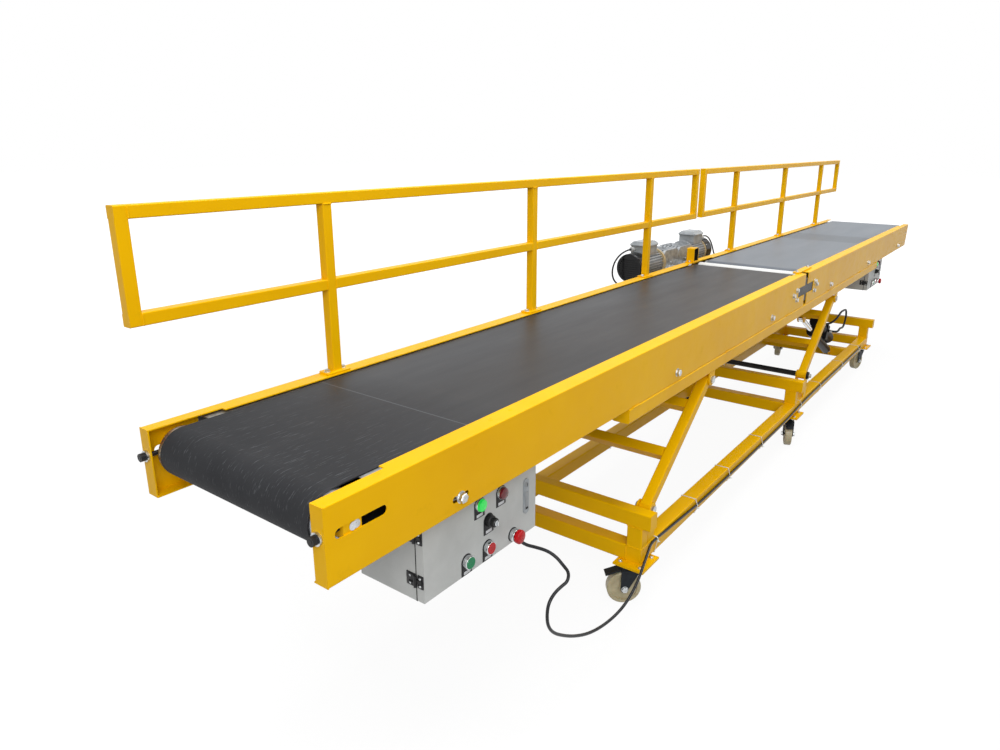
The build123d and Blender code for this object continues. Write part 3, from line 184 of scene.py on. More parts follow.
def ram_point(u, y, v):
    """The frame's point of a place given along the ram, across it and above its axis."""
    slope = (RAM_EYE - RAM_BASE).normalized()
    upright = Vector((slope.z, 0, -slope.x))
    spot = RAM_BASE + slope * u + upright * v
    return at(spot.x, spot.y + y, spot.z)


def linear(hex_code):
    """An sRGB hex colour as linear light with alpha."""
    values = []
    for start in (0, 2, 4):
        share = int(hex_code[start:start + 2], 16) / 255
        values.append(share / 12.92 if share <= 0.04045 else ((share + 0.055) / 1.055) ** 2.4)
    return (*values, 1.0)


def add(tree, kind, settings=None, links=None, stops=()):
    """Add a node; a linked node gives its first output, and a stop is a grey, a hex code or a colour."""
    node = tree.nodes.new(kind)
    for element, (position, colour) in zip(node.color_ramp.elements if stops else (), stops):
        if isinstance(colour, float):
            colour = (colour, colour, colour, 1)
        element.position = position
        element.color = linear(colour) if isinstance(colour, str) else colour
    for name, value in (settings or {}).items():
        if isinstance(name, int) or name in node.inputs:
            node.inputs[name].default_value = value
        else:
            setattr(node, name, value)
    for name, source in (links or {}).items():
        socket = source.outputs[0] if isinstance(source, bpy.types.Node) else source
        tree.links.new(socket, node.inputs[name])
    return node


def new_tree(name):
    """An empty material and its node tree."""
    material = bpy.data.materials.new(name)
    material.use_nodes = True
    tree = material.node_tree
    tree.nodes.clear()
    return material, tree


def surfaced(material, shader):
    """The material with the shader on its surface."""
    add(material.node_tree, "ShaderNodeOutputMaterial", links={"Surface": shader})
    return material


def patches(tree, size, detail=4.0, stretch=(1.0, 1.0, 1.0), roughness=0.6):
    """Soft patches of about the given size in millimetres, drawn out along the stretched axes."""
    spot = add(tree, "ShaderNodeTexCoord")
    scaled = add(tree, "ShaderNodeMapping", {"Scale": tuple(1 / value for value in stretch)},
                 {"Vector": spot.outputs["Object"]})
    noise = {"Scale": 1 / (size * MM), "Detail": detail, "Roughness": roughness}
    return add(tree, "ShaderNodeTexNoise", noise, {"Vector": scaled})


def worn(name, low, high, patch, gloss, bump_size, bump_depth, settings=None, stretch=(1.0, 1.0, 1.0)):
    """A finish that drifts between two colours and two glosses, with a fine relief; sizes in mm."""
    material, tree = new_tree(name)
    tone = add(tree, "ShaderNodeValToRGB", links={"Fac": patches(tree, patch, 5.0, stretch)},
               stops=((0.32, low), (0.68, high)))
    shine = add(tree, "ShaderNodeValToRGB", links={"Fac": patches(tree, patch / 5, 5.0, stretch)},
                stops=((0.3, gloss[0]), (0.7, gloss[1])))
    relief = add(tree, "ShaderNodeBump", {"Strength": 0.35, "Distance": bump_depth * MM},
                 {"Height": patches(tree, bump_size, 2.0, stretch)})
    shader = add(tree, "ShaderNodeBsdfPrincipled", settings,
                 {"Base Color": tone, "Roughness": shine, "Normal": relief})
    return surfaced(material, shader)


def powder_coat():
    """Polyester powder coat baked on welded steel: orange peel, handling dust and a slightly uneven film."""
    material, tree = new_tree("powder_coat")
    coat = (*bpy.context.scene.conveyor_finish.coat, 1.0)
    deep = tuple(share * factor for share, factor in zip(coat, (0.93, 0.87, 0.8))) + (1.0,)
    # Tone drifts over some 400 mm with the film's thickness
    tone = add(tree, "ShaderNodeValToRGB", links={"Fac": patches(tree, 400)},
               stops=((0.3, deep), (0.7, coat)))
    # Handling marks and dust lie in patches of some 60 mm
    dust = patches(tree, 60, 6.0, roughness=0.7)
    patch = add(tree, "ShaderNodeValToRGB", links={"Fac": dust}, stops=((0.6, 0.0), (0.8, 0.3)))
    colour = add(tree, "ShaderNodeMix", {"data_type": "RGBA", 7: linear("C79400")}, {0: patch, 6: tone})
    # Orange peel is 2 mm from crest to crest; drawn at 4 mm so that it shows
    relief = add(tree, "ShaderNodeBump", {"Strength": 0.12, "Distance": 0.6 * MM},
                 {"Height": patches(tree, 4, 2.0)})
    gloss = add(tree, "ShaderNodeValToRGB", links={"Fac": dust}, stops=((0.3, 0.3), (0.8, 0.46)))
    shader = add(tree, "ShaderNodeBsdfPrincipled", {"IOR": 1.5, "Specular IOR Level": 0.1},
                 {"Base Color": colour.outputs[2], "Roughness": gloss, "Normal": relief})
    return surfaced(material, shader)


def pvc_belting(name, tint, lines, haze, sheen):
    """Calendered PVC on polyester ply: charcoal, scuffed by goods, with a line or a band across it."""
    material, tree = new_tree(name)
    dark = (*tint, 1.0)
    pale = tuple(min(1.0, share * 1.3 + 0.004) for share in tint) + (1.0,)
    ground = add(tree, "ShaderNodeValToRGB", links={"Fac": patches(tree, 260, 4.0, (3.0, 1.0, 1.0))},
                 stops=((0.3, dark), (0.75, pale)))
    spot = add(tree, "ShaderNodeTexCoord")
    parts = add(tree, "ShaderNodeSeparateXYZ", links={0: spot.outputs["Object"]})
    # Goods land on the first 450 mm, so scuffs and trodden dust thin out from there
    landing = add(tree, "ShaderNodeMapRange", {"From Min": at(120, 0, 0).x, "From Max": at(620, 0, 0).x,
                                               "To Min": 1.0, "To Max": 0.1}, {"Value": parts})
    # Scuffs some 3 mm wide and 40 mm long
    scuff = add(tree, "ShaderNodeValToRGB", links={"Fac": patches(tree, 3, 3.0, (14.0, 1.0, 6.0), 0.6)},
                stops=((0.6, 0.0), (0.76, haze)))
    # Chalky dust in specks of 2 mm
    speck = add(tree, "ShaderNodeValToRGB", links={"Fac": patches(tree, 2, 3.0, (2.5, 1.0, 1.0), 0.8)},
                stops=((0.62, 0.0), (0.85, haze / 2)))
    both = add(tree, "ShaderNodeMath", {"operation": "MAXIMUM"}, {0: scuff, 1: speck})
    share = add(tree, "ShaderNodeMath", {"operation": "MULTIPLY"}, {0: both, 1: landing})
    face = add(tree, "ShaderNodeMix", {"data_type": "RGBA", 7: linear("8E9195")},
               {0: share, 6: ground}).outputs[2]
    for middle, half, mark, strength in lines:
        on_line = add(tree, "ShaderNodeMath",
                      {"operation": "COMPARE", 1: at(middle, 0, 0).x, 2: half * MM}, {0: parts})
        faint = add(tree, "ShaderNodeMath", {"operation": "MULTIPLY", 1: strength}, {0: on_line})
        face = add(tree, "ShaderNodeMix", {"data_type": "RGBA", 7: linear(mark)},
                   {0: faint, 6: face}).outputs[2]
    # Fine matt impression of the release fabric, 1 mm threads drawn at 2.5 mm so that it shows
    weave = add(tree, "ShaderNodeBump", {"Strength": 0.14, "Distance": 0.2 * MM},
                {"Height": patches(tree, 2.5, 2.0)})
    film = add(tree, "ShaderNodeValToRGB", links={"Fac": patches(tree, 120, 5.0, (6.0, 1.0, 1.0))},
               stops=((0.3, 0.34), (0.75, 0.44)))
    # The face is duller where goods land
    gloss = add(tree, "ShaderNodeMath", {"operation": "MULTIPLY_ADD", 1: 0.4}, {0: landing, 2: film})
    shader = add(tree, "ShaderNodeBsdfPrincipled",
                 {"IOR": 1.53, "Specular IOR Level": 0.26, "Sheen Weight": sheen, "Sheen Roughness": 0.3,
                  "Sheen Tint": linear("D5DEE8")},
                 {"Base Color": face, "Roughness": gloss, "Normal": weave})
    return surfaced(material, shader)


def lamp_lens(name, body, edge, glow):
    """Tinted polycarbonate moulded with rings that spread the light of the diode behind it."""
    material, tree = new_tree(name)
    rings = add(tree, "ShaderNodeBump", {"Strength": 0.4, "Distance": 0.3 * MM},
                {"Height": patches(tree, 1.5, 1.0)})
    tone = add(tree, "ShaderNodeValToRGB", links={"Fac": patches(tree, 9, 1.0)},
               stops=((0.3, edge), (0.7, body)))
    shader = add(tree, "ShaderNodeBsdfPrincipled",
                 {"IOR": 1.58, "Roughness": 0.12, "Emission Color": linear(body), "Emission Strength": glow},
                 {"Base Color": tone, "Normal": rings})
    return surfaced(material, shader)


METAL = {"Metallic": 1.0}


def resin(ior, level=0.5):
    """The settings of a lacquer or a moulding: its refraction and the level of its shine."""
    return {"IOR": ior, "Specular IOR Level": level}


# Plain finishes: the material's name, its darker and lighter colour, the size of its patches, its two
# glosses, the size and depth of its relief, the shader's settings and the stretch of its patches, in mm
PLAIN_FINISHES = {
    # Bright zinc plate with a clear passivate: a cool, slightly cloudy silver
    "zinc": ("zinc_plate", "A7ABAE", "D5D7D6", 9, (0.22, 0.42), 1.5, 0.1, METAL),
    # Hot-dip galvanised sheet: dull spangles some 12 mm across
    "galvanised": ("galvanised_sheet", "8D9194", "B9BDBF", 12, (0.35, 0.55), 4, 0.15, {"Metallic": 0.9}),
    # Blackened steel with an oil film: brownish black with a soft sheen
    "black_steel": ("blackened_steel", "101012", "232324", 40, (0.35, 0.55), 2, 0.1,
                    {"Specular IOR Level": 0.35, "Metallic": 0.2}),
    # Ground drum face, polished by the belt along its edge
    "drum": ("turned_steel", "8A8D90", "C2C4C5", 30, (0.25, 0.4), 1, 0.05, METAL, (1.0, 12.0, 1.0)),
    # Leather-grain epoxy on the switch boxes: light grey with a pebbled sparkle
    "box_paint": ("grain_epoxy", "BFC1BF", "D2D4D2", 180, (0.38, 0.5), 2.5, 0.25, resin(1.5, 0.3)),
    # Pressure-cast alloy as it leaves the die: satin silver with a fine skin
    "cast_alloy": ("die_cast_alloy", "8E9296", "BFC3C6", 25, (0.3, 0.5), 3, 0.3, {"Metallic": 0.85}),
    # Silver-grey machine enamel on the finned case
    "motor_paint": ("machine_enamel_grey", "85898C", "A3A7AA", 30, (0.3, 0.42), 3, 0.2, resin(1.5)),
    # Terminal boxes moulded in grey resin: even, cool and slightly waxy
    "terminal": ("moulded_terminal_grey", "8F959A", "AEB4B8", 50, (0.3, 0.42), 2, 0.15, resin(1.5)),
    # Injection-moulded fan cowl: deep gloss black with fine sink marks
    "cowl": ("moulded_black_gloss", "0A0A0B", "131315", 30, (0.16, 0.26), 3, 0.1, resin(1.5, 0.25)),
    # Paper-backed varnish band at the motors' ends: pale tan with a waxy sheen
    "tan_band": ("tan_varnish", "A8946C", "C7B48C", 12, (0.35, 0.5), 2, 0.1, resin(1.5)),
    # Ground and plated piston rod: a clean mirror with faint lengthwise wiping marks
    "hard_chrome": ("hard_chrome", "C9CCCF", "E4E6E8", 20, (0.05, 0.12), 1, 0.02, METAL),
    # Stove enamel on the ram and its pack: black, oil-damped, with dust in its texture
    "black_enamel": ("black_enamel", "0B0B0D", "171719", 40, (0.38, 0.55), 3, 0.15, resin(1.5, 0.18)),
    # Dipped enamel on the castors' forks: blue-black and satin, thin at the folds
    "fork_enamel": ("fork_enamel", "14181E", "232A30", 25, (0.35, 0.5), 2, 0.12, resin(1.5, 0.2)),
    # Cast polyamide wheels: waxy cream, darker where the floor has polished them
    "cast_nylon": ("cast_polyamide", "AEA27E", "C6BA98", 30, (0.3, 0.46), 2, 0.15,
                   {"IOR": 1.53, "Subsurface Weight": 0.08}),
    # Wrapped rubber cover: the bandage leaves a fine cloth print on matt black
    "hose": ("wrapped_rubber", "101011", "1C1C1E", 12, (0.5, 0.68), 1.5, 0.2, resin(1.52, 0.25)),
    # Moulded rubber of grommets and seals: dull black that drinks the light
    "rubber": ("black_rubber", "0C0C0D", "161617", 8, (0.55, 0.75), 1.5, 0.1, resin(1.52, 0.25)),
    # Anodised legend plates: flat black with a metal's tight sheen
    "legend": ("anodised_black_plate", "101012", "18181B", 12, (0.3, 0.42), 1, 0.03, resin(1.5, 0.25)),
    # Glands of unfilled polyamide: pale grey, a little waxy
    "gland": ("moulded_polyamide_grey", "BFC3C4", "D9DCDC", 8, (0.3, 0.42), 1.5, 0.08, resin(1.53)),
    # Ties of natural polyamide: milky white, with light that sinks in at the edges
    "tie": ("natural_polyamide", "D9DAD4", "F0F0EB", 6, (0.32, 0.45), 1, 0.05,
            {"IOR": 1.53, "Subsurface Weight": 0.15}),
    # Turned acetal sleeve of the transfer roller: dense white with a satin lathe finish
    "acetal": ("turned_acetal", "CFD1D0", "DFE1E0", 60, (0.3, 0.42), 1, 0.04, resin(1.48), (1.0, 8.0, 1.0)),
    # The blank field of a legend: milky white film, faintly uneven
    "label": ("label_film", "C9CBCE", "DEDFE1", 6, (0.35, 0.45), 1, 0.02, resin(1.5)),
    # Chromed collars: dark and bright stripes of the room round a mirror
    "bezel": ("bright_chrome", "B9BCBF", "DADCDE", 6, (0.08, 0.18), 1, 0.02, METAL),
    # Moulded stop caps: clear signal red with a soft gloss
    "red_cap": ("moulded_red", "B00A12", "CC141C", 10, (0.22, 0.34), 1.5, 0.05, resin(1.5, 0.25)),
    # Moulded start caps: bluish green with the same soft gloss
    "green_cap": ("moulded_green", "007A4A", "06905A", 10, (0.22, 0.34), 1.5, 0.05, resin(1.5, 0.25)),
    # Glass-filled black of the knobs: a little grey where hands have rubbed it
    "black_cap": ("moulded_black", "131314", "1F1F21", 10, (0.25, 0.4), 1.5, 0.08, resin(1.5, 0.3)),
}
# Belts: their lines as middle, half width, colour and strength, then their haze and their sheen
BELT_SEAM = ((480.0, 2.0, "85888C", 0.22),)
BELT_BAND = ((4790.0, 190.0, "24282D", 0.6),)


def make_finishes():
    """Every finish of the conveyor, by its plain name."""
    finish = bpy.context.scene.conveyor_finish
    made = {
        "coat": powder_coat(),
        "belt_front": pvc_belting("pvc_belting_front", finish.belt, BELT_SEAM, 0.3, 0.0),
        # The rear belt's lighter tint is partly painted reflection of the sky at grazing angles
        "belt_rear": pvc_belting("pvc_belting_rear", finish.rear_belt, BELT_BAND, 0.1, 0.9),
        # Extruded PVC sheath: bluish black with one narrow bright line of light along it
        "sheath": worn("pvc_sheath", (*finish.sheath, 1.0), "15171C", 30, (0.2, 0.3), 2, 0.03,
                       resin(1.53, 0.35)),
        # The green lamp is lit and the red one is out
        "green_lamp": lamp_lens("lens_green", "1FC94B", "139A3C", 0.6),
        "red_lamp": lamp_lens("lens_red", "7A0F1A", "570A12", 0.0),
    }
    for key, row in PLAIN_FINISHES.items():
        made[key] = worn(*row)
    return made


FINISHES = {}


# The nodes of the CAD model by the finish they wear
DRESSED = {
    "coat": ("chassis_rails", "chassis_cross_members", "uprights", "upper_beams", "chassis_lugs",
             "castor_pads", "front_arms", "rear_arms", "subframe_rails", "subframe_cross_members",
             "arm_top_lugs", "channel_front_left", "channel_front_right", "channel_rear_left",
             "channel_rear_right", "railing_front", "railing_rear", "stub_bracket", "deck_ties"),
    "zinc": ("chassis_pins", "arm_top_pins", "castor_top_plates", "transfer_axle"),
    "galvanised": ("slider_beds",),
    "black_steel": ("rear_pivot_shaft", "connector_plates", "tension_screws"),
    "drum": ("drums", "return_rollers"),
    "belt_front": ("belt_front",),
    "belt_rear": ("belt_rear",),
    "acetal": ("transfer_roller",),
    "box_paint": ("control_box_near", "control_box_far", "control_door_near", "control_door_far"),
    "cast_alloy": ("gearboxes",),
    "motor_paint": ("motor_front", "motor_rear"),
    "terminal": ("terminal_boxes",),
    "gland": ("cable_glands",),
    "black_enamel": ("ram_barrel",),
    "hard_chrome": ("ram_rod",),
    "sheath": ("cable_on_rail", "cable_hanging", "motor_cables"),
    "hose": ("ram_hoses",),
    "fork_enamel": ["castor_fork_" + name for name in CASTORS],
    "cast_nylon": ["castor_wheel_" + name for name in CASTORS],
}


def dress():
    """Give each node of the CAD model its finish."""
    for finish, nodes in DRESSED.items():
        for node in nodes:
            mesh = frame["nodes"][node].data
            mesh.materials.clear()
            mesh.materials.append(FINISHES[finish])


def paint_where(node, finish, test):
    """Give a second finish to the faces of a node whose middle passes the test, in millimetres."""
    mesh = frame["nodes"][node].data
    mesh.materials.append(FINISHES[finish])
    index = len(mesh.materials) - 1
    for face in mesh.polygons:
        if test(place_of(face.center)):
            face.material_index = index


def show(name, data):
    """A new object in the scene."""
    made = bpy.data.objects.new(name, data)
    bpy.context.scene.collection.objects.link(made)
    return made


def piece(name, form, body, finish):
    """Turn a bmesh into a named piece with its finish that moves with a body."""
    bmesh.ops.recalc_face_normals(form, faces=form.faces)
    mesh = bpy.data.meshes.new(name)
    form.to_mesh(mesh)
    form.free()
    mesh.polygons.foreach_set("use_smooth", [True] * len(mesh.polygons))
    mesh.set_sharp_from_angle(angle=math.radians(32))
    mesh.materials.append(FINISHES[finish])
    made = show(name, mesh)
    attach(made, body)
    return made


def turned(form, centre, axis, profile, sides=24, ribs=0.0):
    """Turn a profile of radii and heights in mm round an axis, with a groove at every other side."""
    place = Matrix.Translation(centre) @ Vector(axis).to_track_quat("Z", "Y").to_matrix().to_4x4()
    rings = []
    for radius, height in profile:
        ring = []
        for index in range(sides):
            angle = 2 * math.pi * index / sides
            reach = radius - ribs * (index % 2)
            spot = Vector((reach * math.cos(angle), reach * math.sin(angle), height)) * MM
            ring.append(form.verts.new(place @ spot))
        rings.append(ring)
    for lower, upper in zip(rings, rings[1:]):
        for index in range(sides):
            after = (index + 1) % sides
            form.faces.new((lower[index], lower[after], upper[after], upper[index]))
    form.faces.new(rings[0])
    form.faces.new(rings[-1])


def slab(form, low, high, ease=0.0):
    """A block between two places in millimetres, with its edges eased."""
    size = [b - a for a, b in zip(low, high)]
    middle = [(a + b) / 2 for a, b in zip(low, high)]
    place = Matrix.Translation(at(*middle)) @ Matrix.Diagonal((*(length * MM for length in size), 1))
    made = bmesh.ops.create_cube(form, size=1, matrix=place)
    if ease:
        edges = {edge for vert in made["verts"] for edge in vert.link_edges}
        bmesh.ops.bevel(form, geom=list(edges), offset=ease * MM, segments=2, affect="EDGES", profile=0.5)


def hex_bolt(form, place, axis, across=None):
    """A hexagon bolt head on its washer, standing on a surface at a place in millimetres."""
    across = across or bpy.context.scene.conveyor_hardware.bolt / MM
    washer = across * 0.68
    corner = across / math.sqrt(3)
    turned(form, at(*place), axis, ((washer, 0), (washer, 1.4), (washer - 0.5, 1.9)), 28)
    turned(form, at(*place), axis, ((corner, 1.9), (corner, across * 0.52), (corner * 0.88, across * 0.6),
                                    (corner * 0.4, across * 0.62)), 6)


def pan_screw(form, place, axis, radius):
    """A small pan-head screw with a domed head."""
    turned(form, at(*place), axis, ((radius, 0), (radius, radius * 0.3), (radius * 0.8, radius * 0.62),
                                    (radius * 0.35, radius * 0.74), (radius * 0.3, radius * 0.5)), 16)


def bead(form, start, end):
    """A weld bead between two places in millimetres, with the ripples of its pool."""
    leg = bpy.context.scene.conveyor_hardware.weld / MM
    run = Vector(end) - Vector(start)
    count = max(3, round(run.length / (leg * 0.8)))
    profile = []
    for step in range(count + 1):
        radius = leg * (0.62 if step % 2 else 0.48)
        if step in (0, count):
            radius = leg * 0.2
        profile.append((radius, run.length * step / count))
    turned(form, at(*start), run, profile, 8)


def frame_of_beads(form, x0, x1, y0, y1, z):
    """Four beads round the foot of a tube that stands on a face at height z."""
    bead(form, (x0, y0, z), (x1, y0, z))
    bead(form, (x0, y1, z), (x1, y1, z))
    bead(form, (x0, y0, z), (x0, y1, z))
    bead(form, (x1, y0, z), (x1, y1, z))


def cord_curve(name, points, radius, body, finish, node):
    """A cable as a smooth NURBS tube through its control points, in place of its CAD node."""
    curve = bpy.data.curves.new(name, "CURVE")
    curve.dimensions = "3D"
    curve.bevel_depth = radius * MM
    curve.bevel_resolution = 5
    curve.resolution_u = 10
    curve.use_fill_caps = True
    line = curve.splines.new("NURBS")
    line.points.add(len(points) - 1)
    for knot, point in zip(line.points, points):
        knot.co = (*point, 1.0)
    line.order_u = 3
    line.use_endpoint_u = True
    curve.materials.append(FINISHES[finish])
    made = show(name, curve)
    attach(made, body)
    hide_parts(node)
    return made


def lead_route(name, axle_x, way):
    """The control points of a motor's lead, from its gland to the web."""
    reach, side, height = GLAND_MOUTH
    mouth = (axle_x + way * (GEARBOX_HALF + reach), DRIVE_Y + way * side, WORM_Z + height)
    return [at(mouth[0] + way * dx, mouth[1] + dy, mouth[2] + dz) for dx, dy, dz in LEADS[name]]


def colour_setting(name, description, hex_code):
    """A colour setting that opens on an sRGB hex colour."""
    return FloatVectorProperty(name=name, description=description, subtype="COLOR", size=3, min=0, max=1,
                               default=linear(hex_code)[:3])


def length_setting(name, description, default, low, high):
    """A length setting, given in millimetres."""
    return FloatProperty(name=name, description=description, unit="LENGTH", subtype="DISTANCE",
                         default=default * MM, min=low * MM, max=high * MM)


class ConveyorFinish(bpy.types.PropertyGroup):
    """The colours of the conveyor's coat, belts and cables"""

    coat: colour_setting("Coat", "Powder coat of the frame, railing and channels", "F7BF00")
    belt: colour_setting("Front belt", "Face of the belt at the infeed", "222326")
    # The rear belt's tint is lighter than the front one's: partly its own grey, partly painted reflection of
    # the sky that lies along the far belt at grazing angles
    rear_belt: colour_setting("Rear belt", "Face of the second belt", "565C64")
    sheath: colour_setting("Cable sheath", "Outer sheath of the supply cable and the leads", "0A0B0D")


class ConveyorHardware(bpy.types.PropertyGroup):
    """The sizes of the conveyor's small hardware"""

    bolt: length_setting("Bolt", "Width across the flats of the hexagon bolts", 22, 8, 30)
    weld: length_setting("Weld", "Leg of the weld beads", 4, 1, 8)
    tie: length_setting("Tie", "Width of the cable ties", 4.8, 2, 12)


class ConveyorStudio(bpy.types.PropertyGroup):
    """The light and the lens of the studio"""

    lens: FloatProperty(
        name="Lens", description="Focal length of the camera in millimetres", default=26.0, min=10, max=200)
    sky: FloatProperty(
        name="Soft light", description="Strength of the light from all round", default=0.36, min=0, max=2)
    lamps: FloatProperty(
        name="Lamps", description="Share of the lamps' full power", subtype="FACTOR",
        default=0.62, min=0, max=1)


class CONVEYOR_OT_camera(bpy.types.Operator):
    """Put the camera where the photograph was taken"""

    bl_idname = "conveyor.camera"
    bl_label = "Camera"

    # Place in millimetres, angles in degrees, and the lens's shift
    PLACE = (-740.5, -1307.5, 1610)
    ANGLES = (53.9, -16.33, 0.34)
    SHIFT = (-0.0198, -0.0206)

    def execute(self, context):
        data = bpy.data.cameras.new("photo_camera")
        data.sensor_width = 36
        data.lens = context.scene.conveyor_studio.lens
        data.shift_x, data.shift_y = self.SHIFT
        data.clip_end = 100
        yaw, pitch, roll = (math.radians(angle) for angle in self.ANGLES)
        forward = Vector((math.sin(yaw) * math.cos(pitch), math.cos(yaw) * math.cos(pitch), math.sin(pitch)))
        level = Vector((math.cos(yaw), -math.sin(yaw), 0))
        upward = level.cross(forward)
        right = level * math.cos(roll) + upward * math.sin(roll)
        top = upward * math.cos(roll) - level * math.sin(roll)
        camera = show("photo_camera", data)
        turn = Matrix((right, top, -forward)).transposed().to_4x4()
        camera.matrix_world = Matrix.Translation(at(*self.PLACE)) @ turn
        context.scene.camera = camera
        return {"FINISHED"}


class CONVEYOR_OT_finishes(bpy.types.Operator):
    """Make the finishes and give each part of the conveyor its own"""

    bl_idname = "conveyor.finishes"
    bl_label = "Finishes"

    # Along the deck: the washers of the tension screws, their bearing blocks and the infeed drum
    SCREW_WASHERS = (-6.5, 0.5)
    BEARING_START = 46.0
    INFEED_DRUM_END = 140.0
    DRUM_RIM_Y = 262.0
    MOTOR_ENDS = {"front": "tan_band", "rear": "cast_alloy"}

    def execute(self, context):
        FINISHES.update(make_finishes())
        dress()
        # The plate on the flange is coated; the washers and bearing blocks of the tension screws are bare
        paint_where("connector_plates", "coat", lambda spot: spot.z > DECK_Z - 1)
        start, stop = self.SCREW_WASHERS
        paint_where("tension_screws", "zinc", lambda spot: start < spot.x < stop)
        paint_where("tension_screws", "coat", lambda spot: spot.x > self.BEARING_START)
        # The infeed drum's ends show a bright rim beside the belt
        paint_where("drums", "bezel",
                    lambda spot: spot.x < self.INFEED_DRUM_END and abs(spot.y) > self.DRUM_RIM_Y)
        # Inside the stub bracket the inner walls get the black rubber finish: painted shade in the bracket's
        # hollow
        paint_where("stub_bracket", "rubber", painted_shade_inside_stub)
        for name, axle_x, way in DRIVES:
            cowl_start = axle_x + way * (GEARBOX_HALF + CASE_END)
            flange_end = axle_x + way * (GEARBOX_HALF + MOTOR_FLANGE)
            paint_where("motor_" + name, "cowl", lambda spot: way * (spot.x - cowl_start) > -0.5)
            paint_where("motor_" + name, self.MOTOR_ENDS[name],
                        lambda spot: way * (spot.x - flange_end) < 0)
        return {"FINISHED"}


def painted_shade_inside_stub(spot):
    """Whether a place lies on the inner walls of the stub bracket, where black is painted as shade."""
    low = DECK_Z + FOOT + 3.5
    return JOINT_X - 56.5 < spot.x < JOINT_X - 3.5 and low < spot.z < low + 68 and spot.y < HALF - 7.5


class CONVEYOR_OT_cables(bpy.types.Operator):
    """Lay the supply cable, the motors' leads and the hose of the power pack"""

    bl_idname = "conveyor.cables"
    bl_label = "Cables"

    def execute(self, context):
        supply = cord_curve("supply_cable", [at(*point) for point in HANGING],
                            5, "chassis", "sheath", "cable_hanging")
        for (name, axle_x, way), length in zip(DRIVES, (0.491, 0.340)):
            route = lead_route(name, axle_x, way)
            lead = cord_curve("motor_lead_" + name, route, 4.5, "deck", "sheath",
                              "motor_cables")
        route = [ram_point(*point) for point in HOSE]
        hose = cord_curve("pack_hose", route, 6.5, "ram_barrel", "hose", "ram_hoses")
        self.grommets()
        self.glands()
        return {"FINISHED"}

    def grommets(self):
        """Rubber rings where the leads pass through the web, and crimped ferrules at the hose's ends."""
        form = bmesh.new()
        for name, axle_x, way in DRIVES:
            end = place_of(lead_route(name, axle_x, way)[-1])
            turned(form, at(end.x, HALF, end.z), (0, 1, 0),
                   ((10.5, 0), (10.5, 1.5), (9.5, 2.6), (7, 3.2), (5.2, 2.8), (4.9, 1.0)), 28)
        piece("lead_grommets", form, "deck", "rubber")
        form = bmesh.new()
        for first, second in ((HOSE[0], HOSE[1]), (HOSE[-1], HOSE[-2])):
            start = ram_point(*first)
            turned(form, start, ram_point(*second) - start,
                   ((9.2, 0), (9.2, 3), (8.0, 3.6), (8.0, 6.4), (9.0, 7), (8.6, 14), (7.2, 15)), 6)
        piece("hose_ferrules", form, "ram_barrel", "zinc")

    def glands(self):
        """Lock nuts and ribbed domes over the glands."""
        form = bmesh.new()
        for _, axle_x, way in DRIVES:
            reach, side, height = GLAND_MOUTH
            root = (axle_x + way * (GEARBOX_HALF + reach - 22), DRIVE_Y + way * side, WORM_Z + height)
            self.gland(form, at(*root), (way, 0, 0))
        self.gland(form, at(HANGING[0][0], HANGING[0][1], BOX_LOW), (0, 0, -1))
        piece("gland_nuts", form, "deck", "gland")

    def gland(self, form, root, axis):
        """One gland: a hexagon on its thread and a dome nut with grip ribs."""
        turned(form, root, axis, ((14.5, 0.2), (14.5, 5.2), (13.2, 6)), 6)
        turned(form, root, axis, ((12.4, 7), (13, 8), (13, 15), (11.8, 18.5), (9, 21.5), (6, 22)), 36, 0.5)


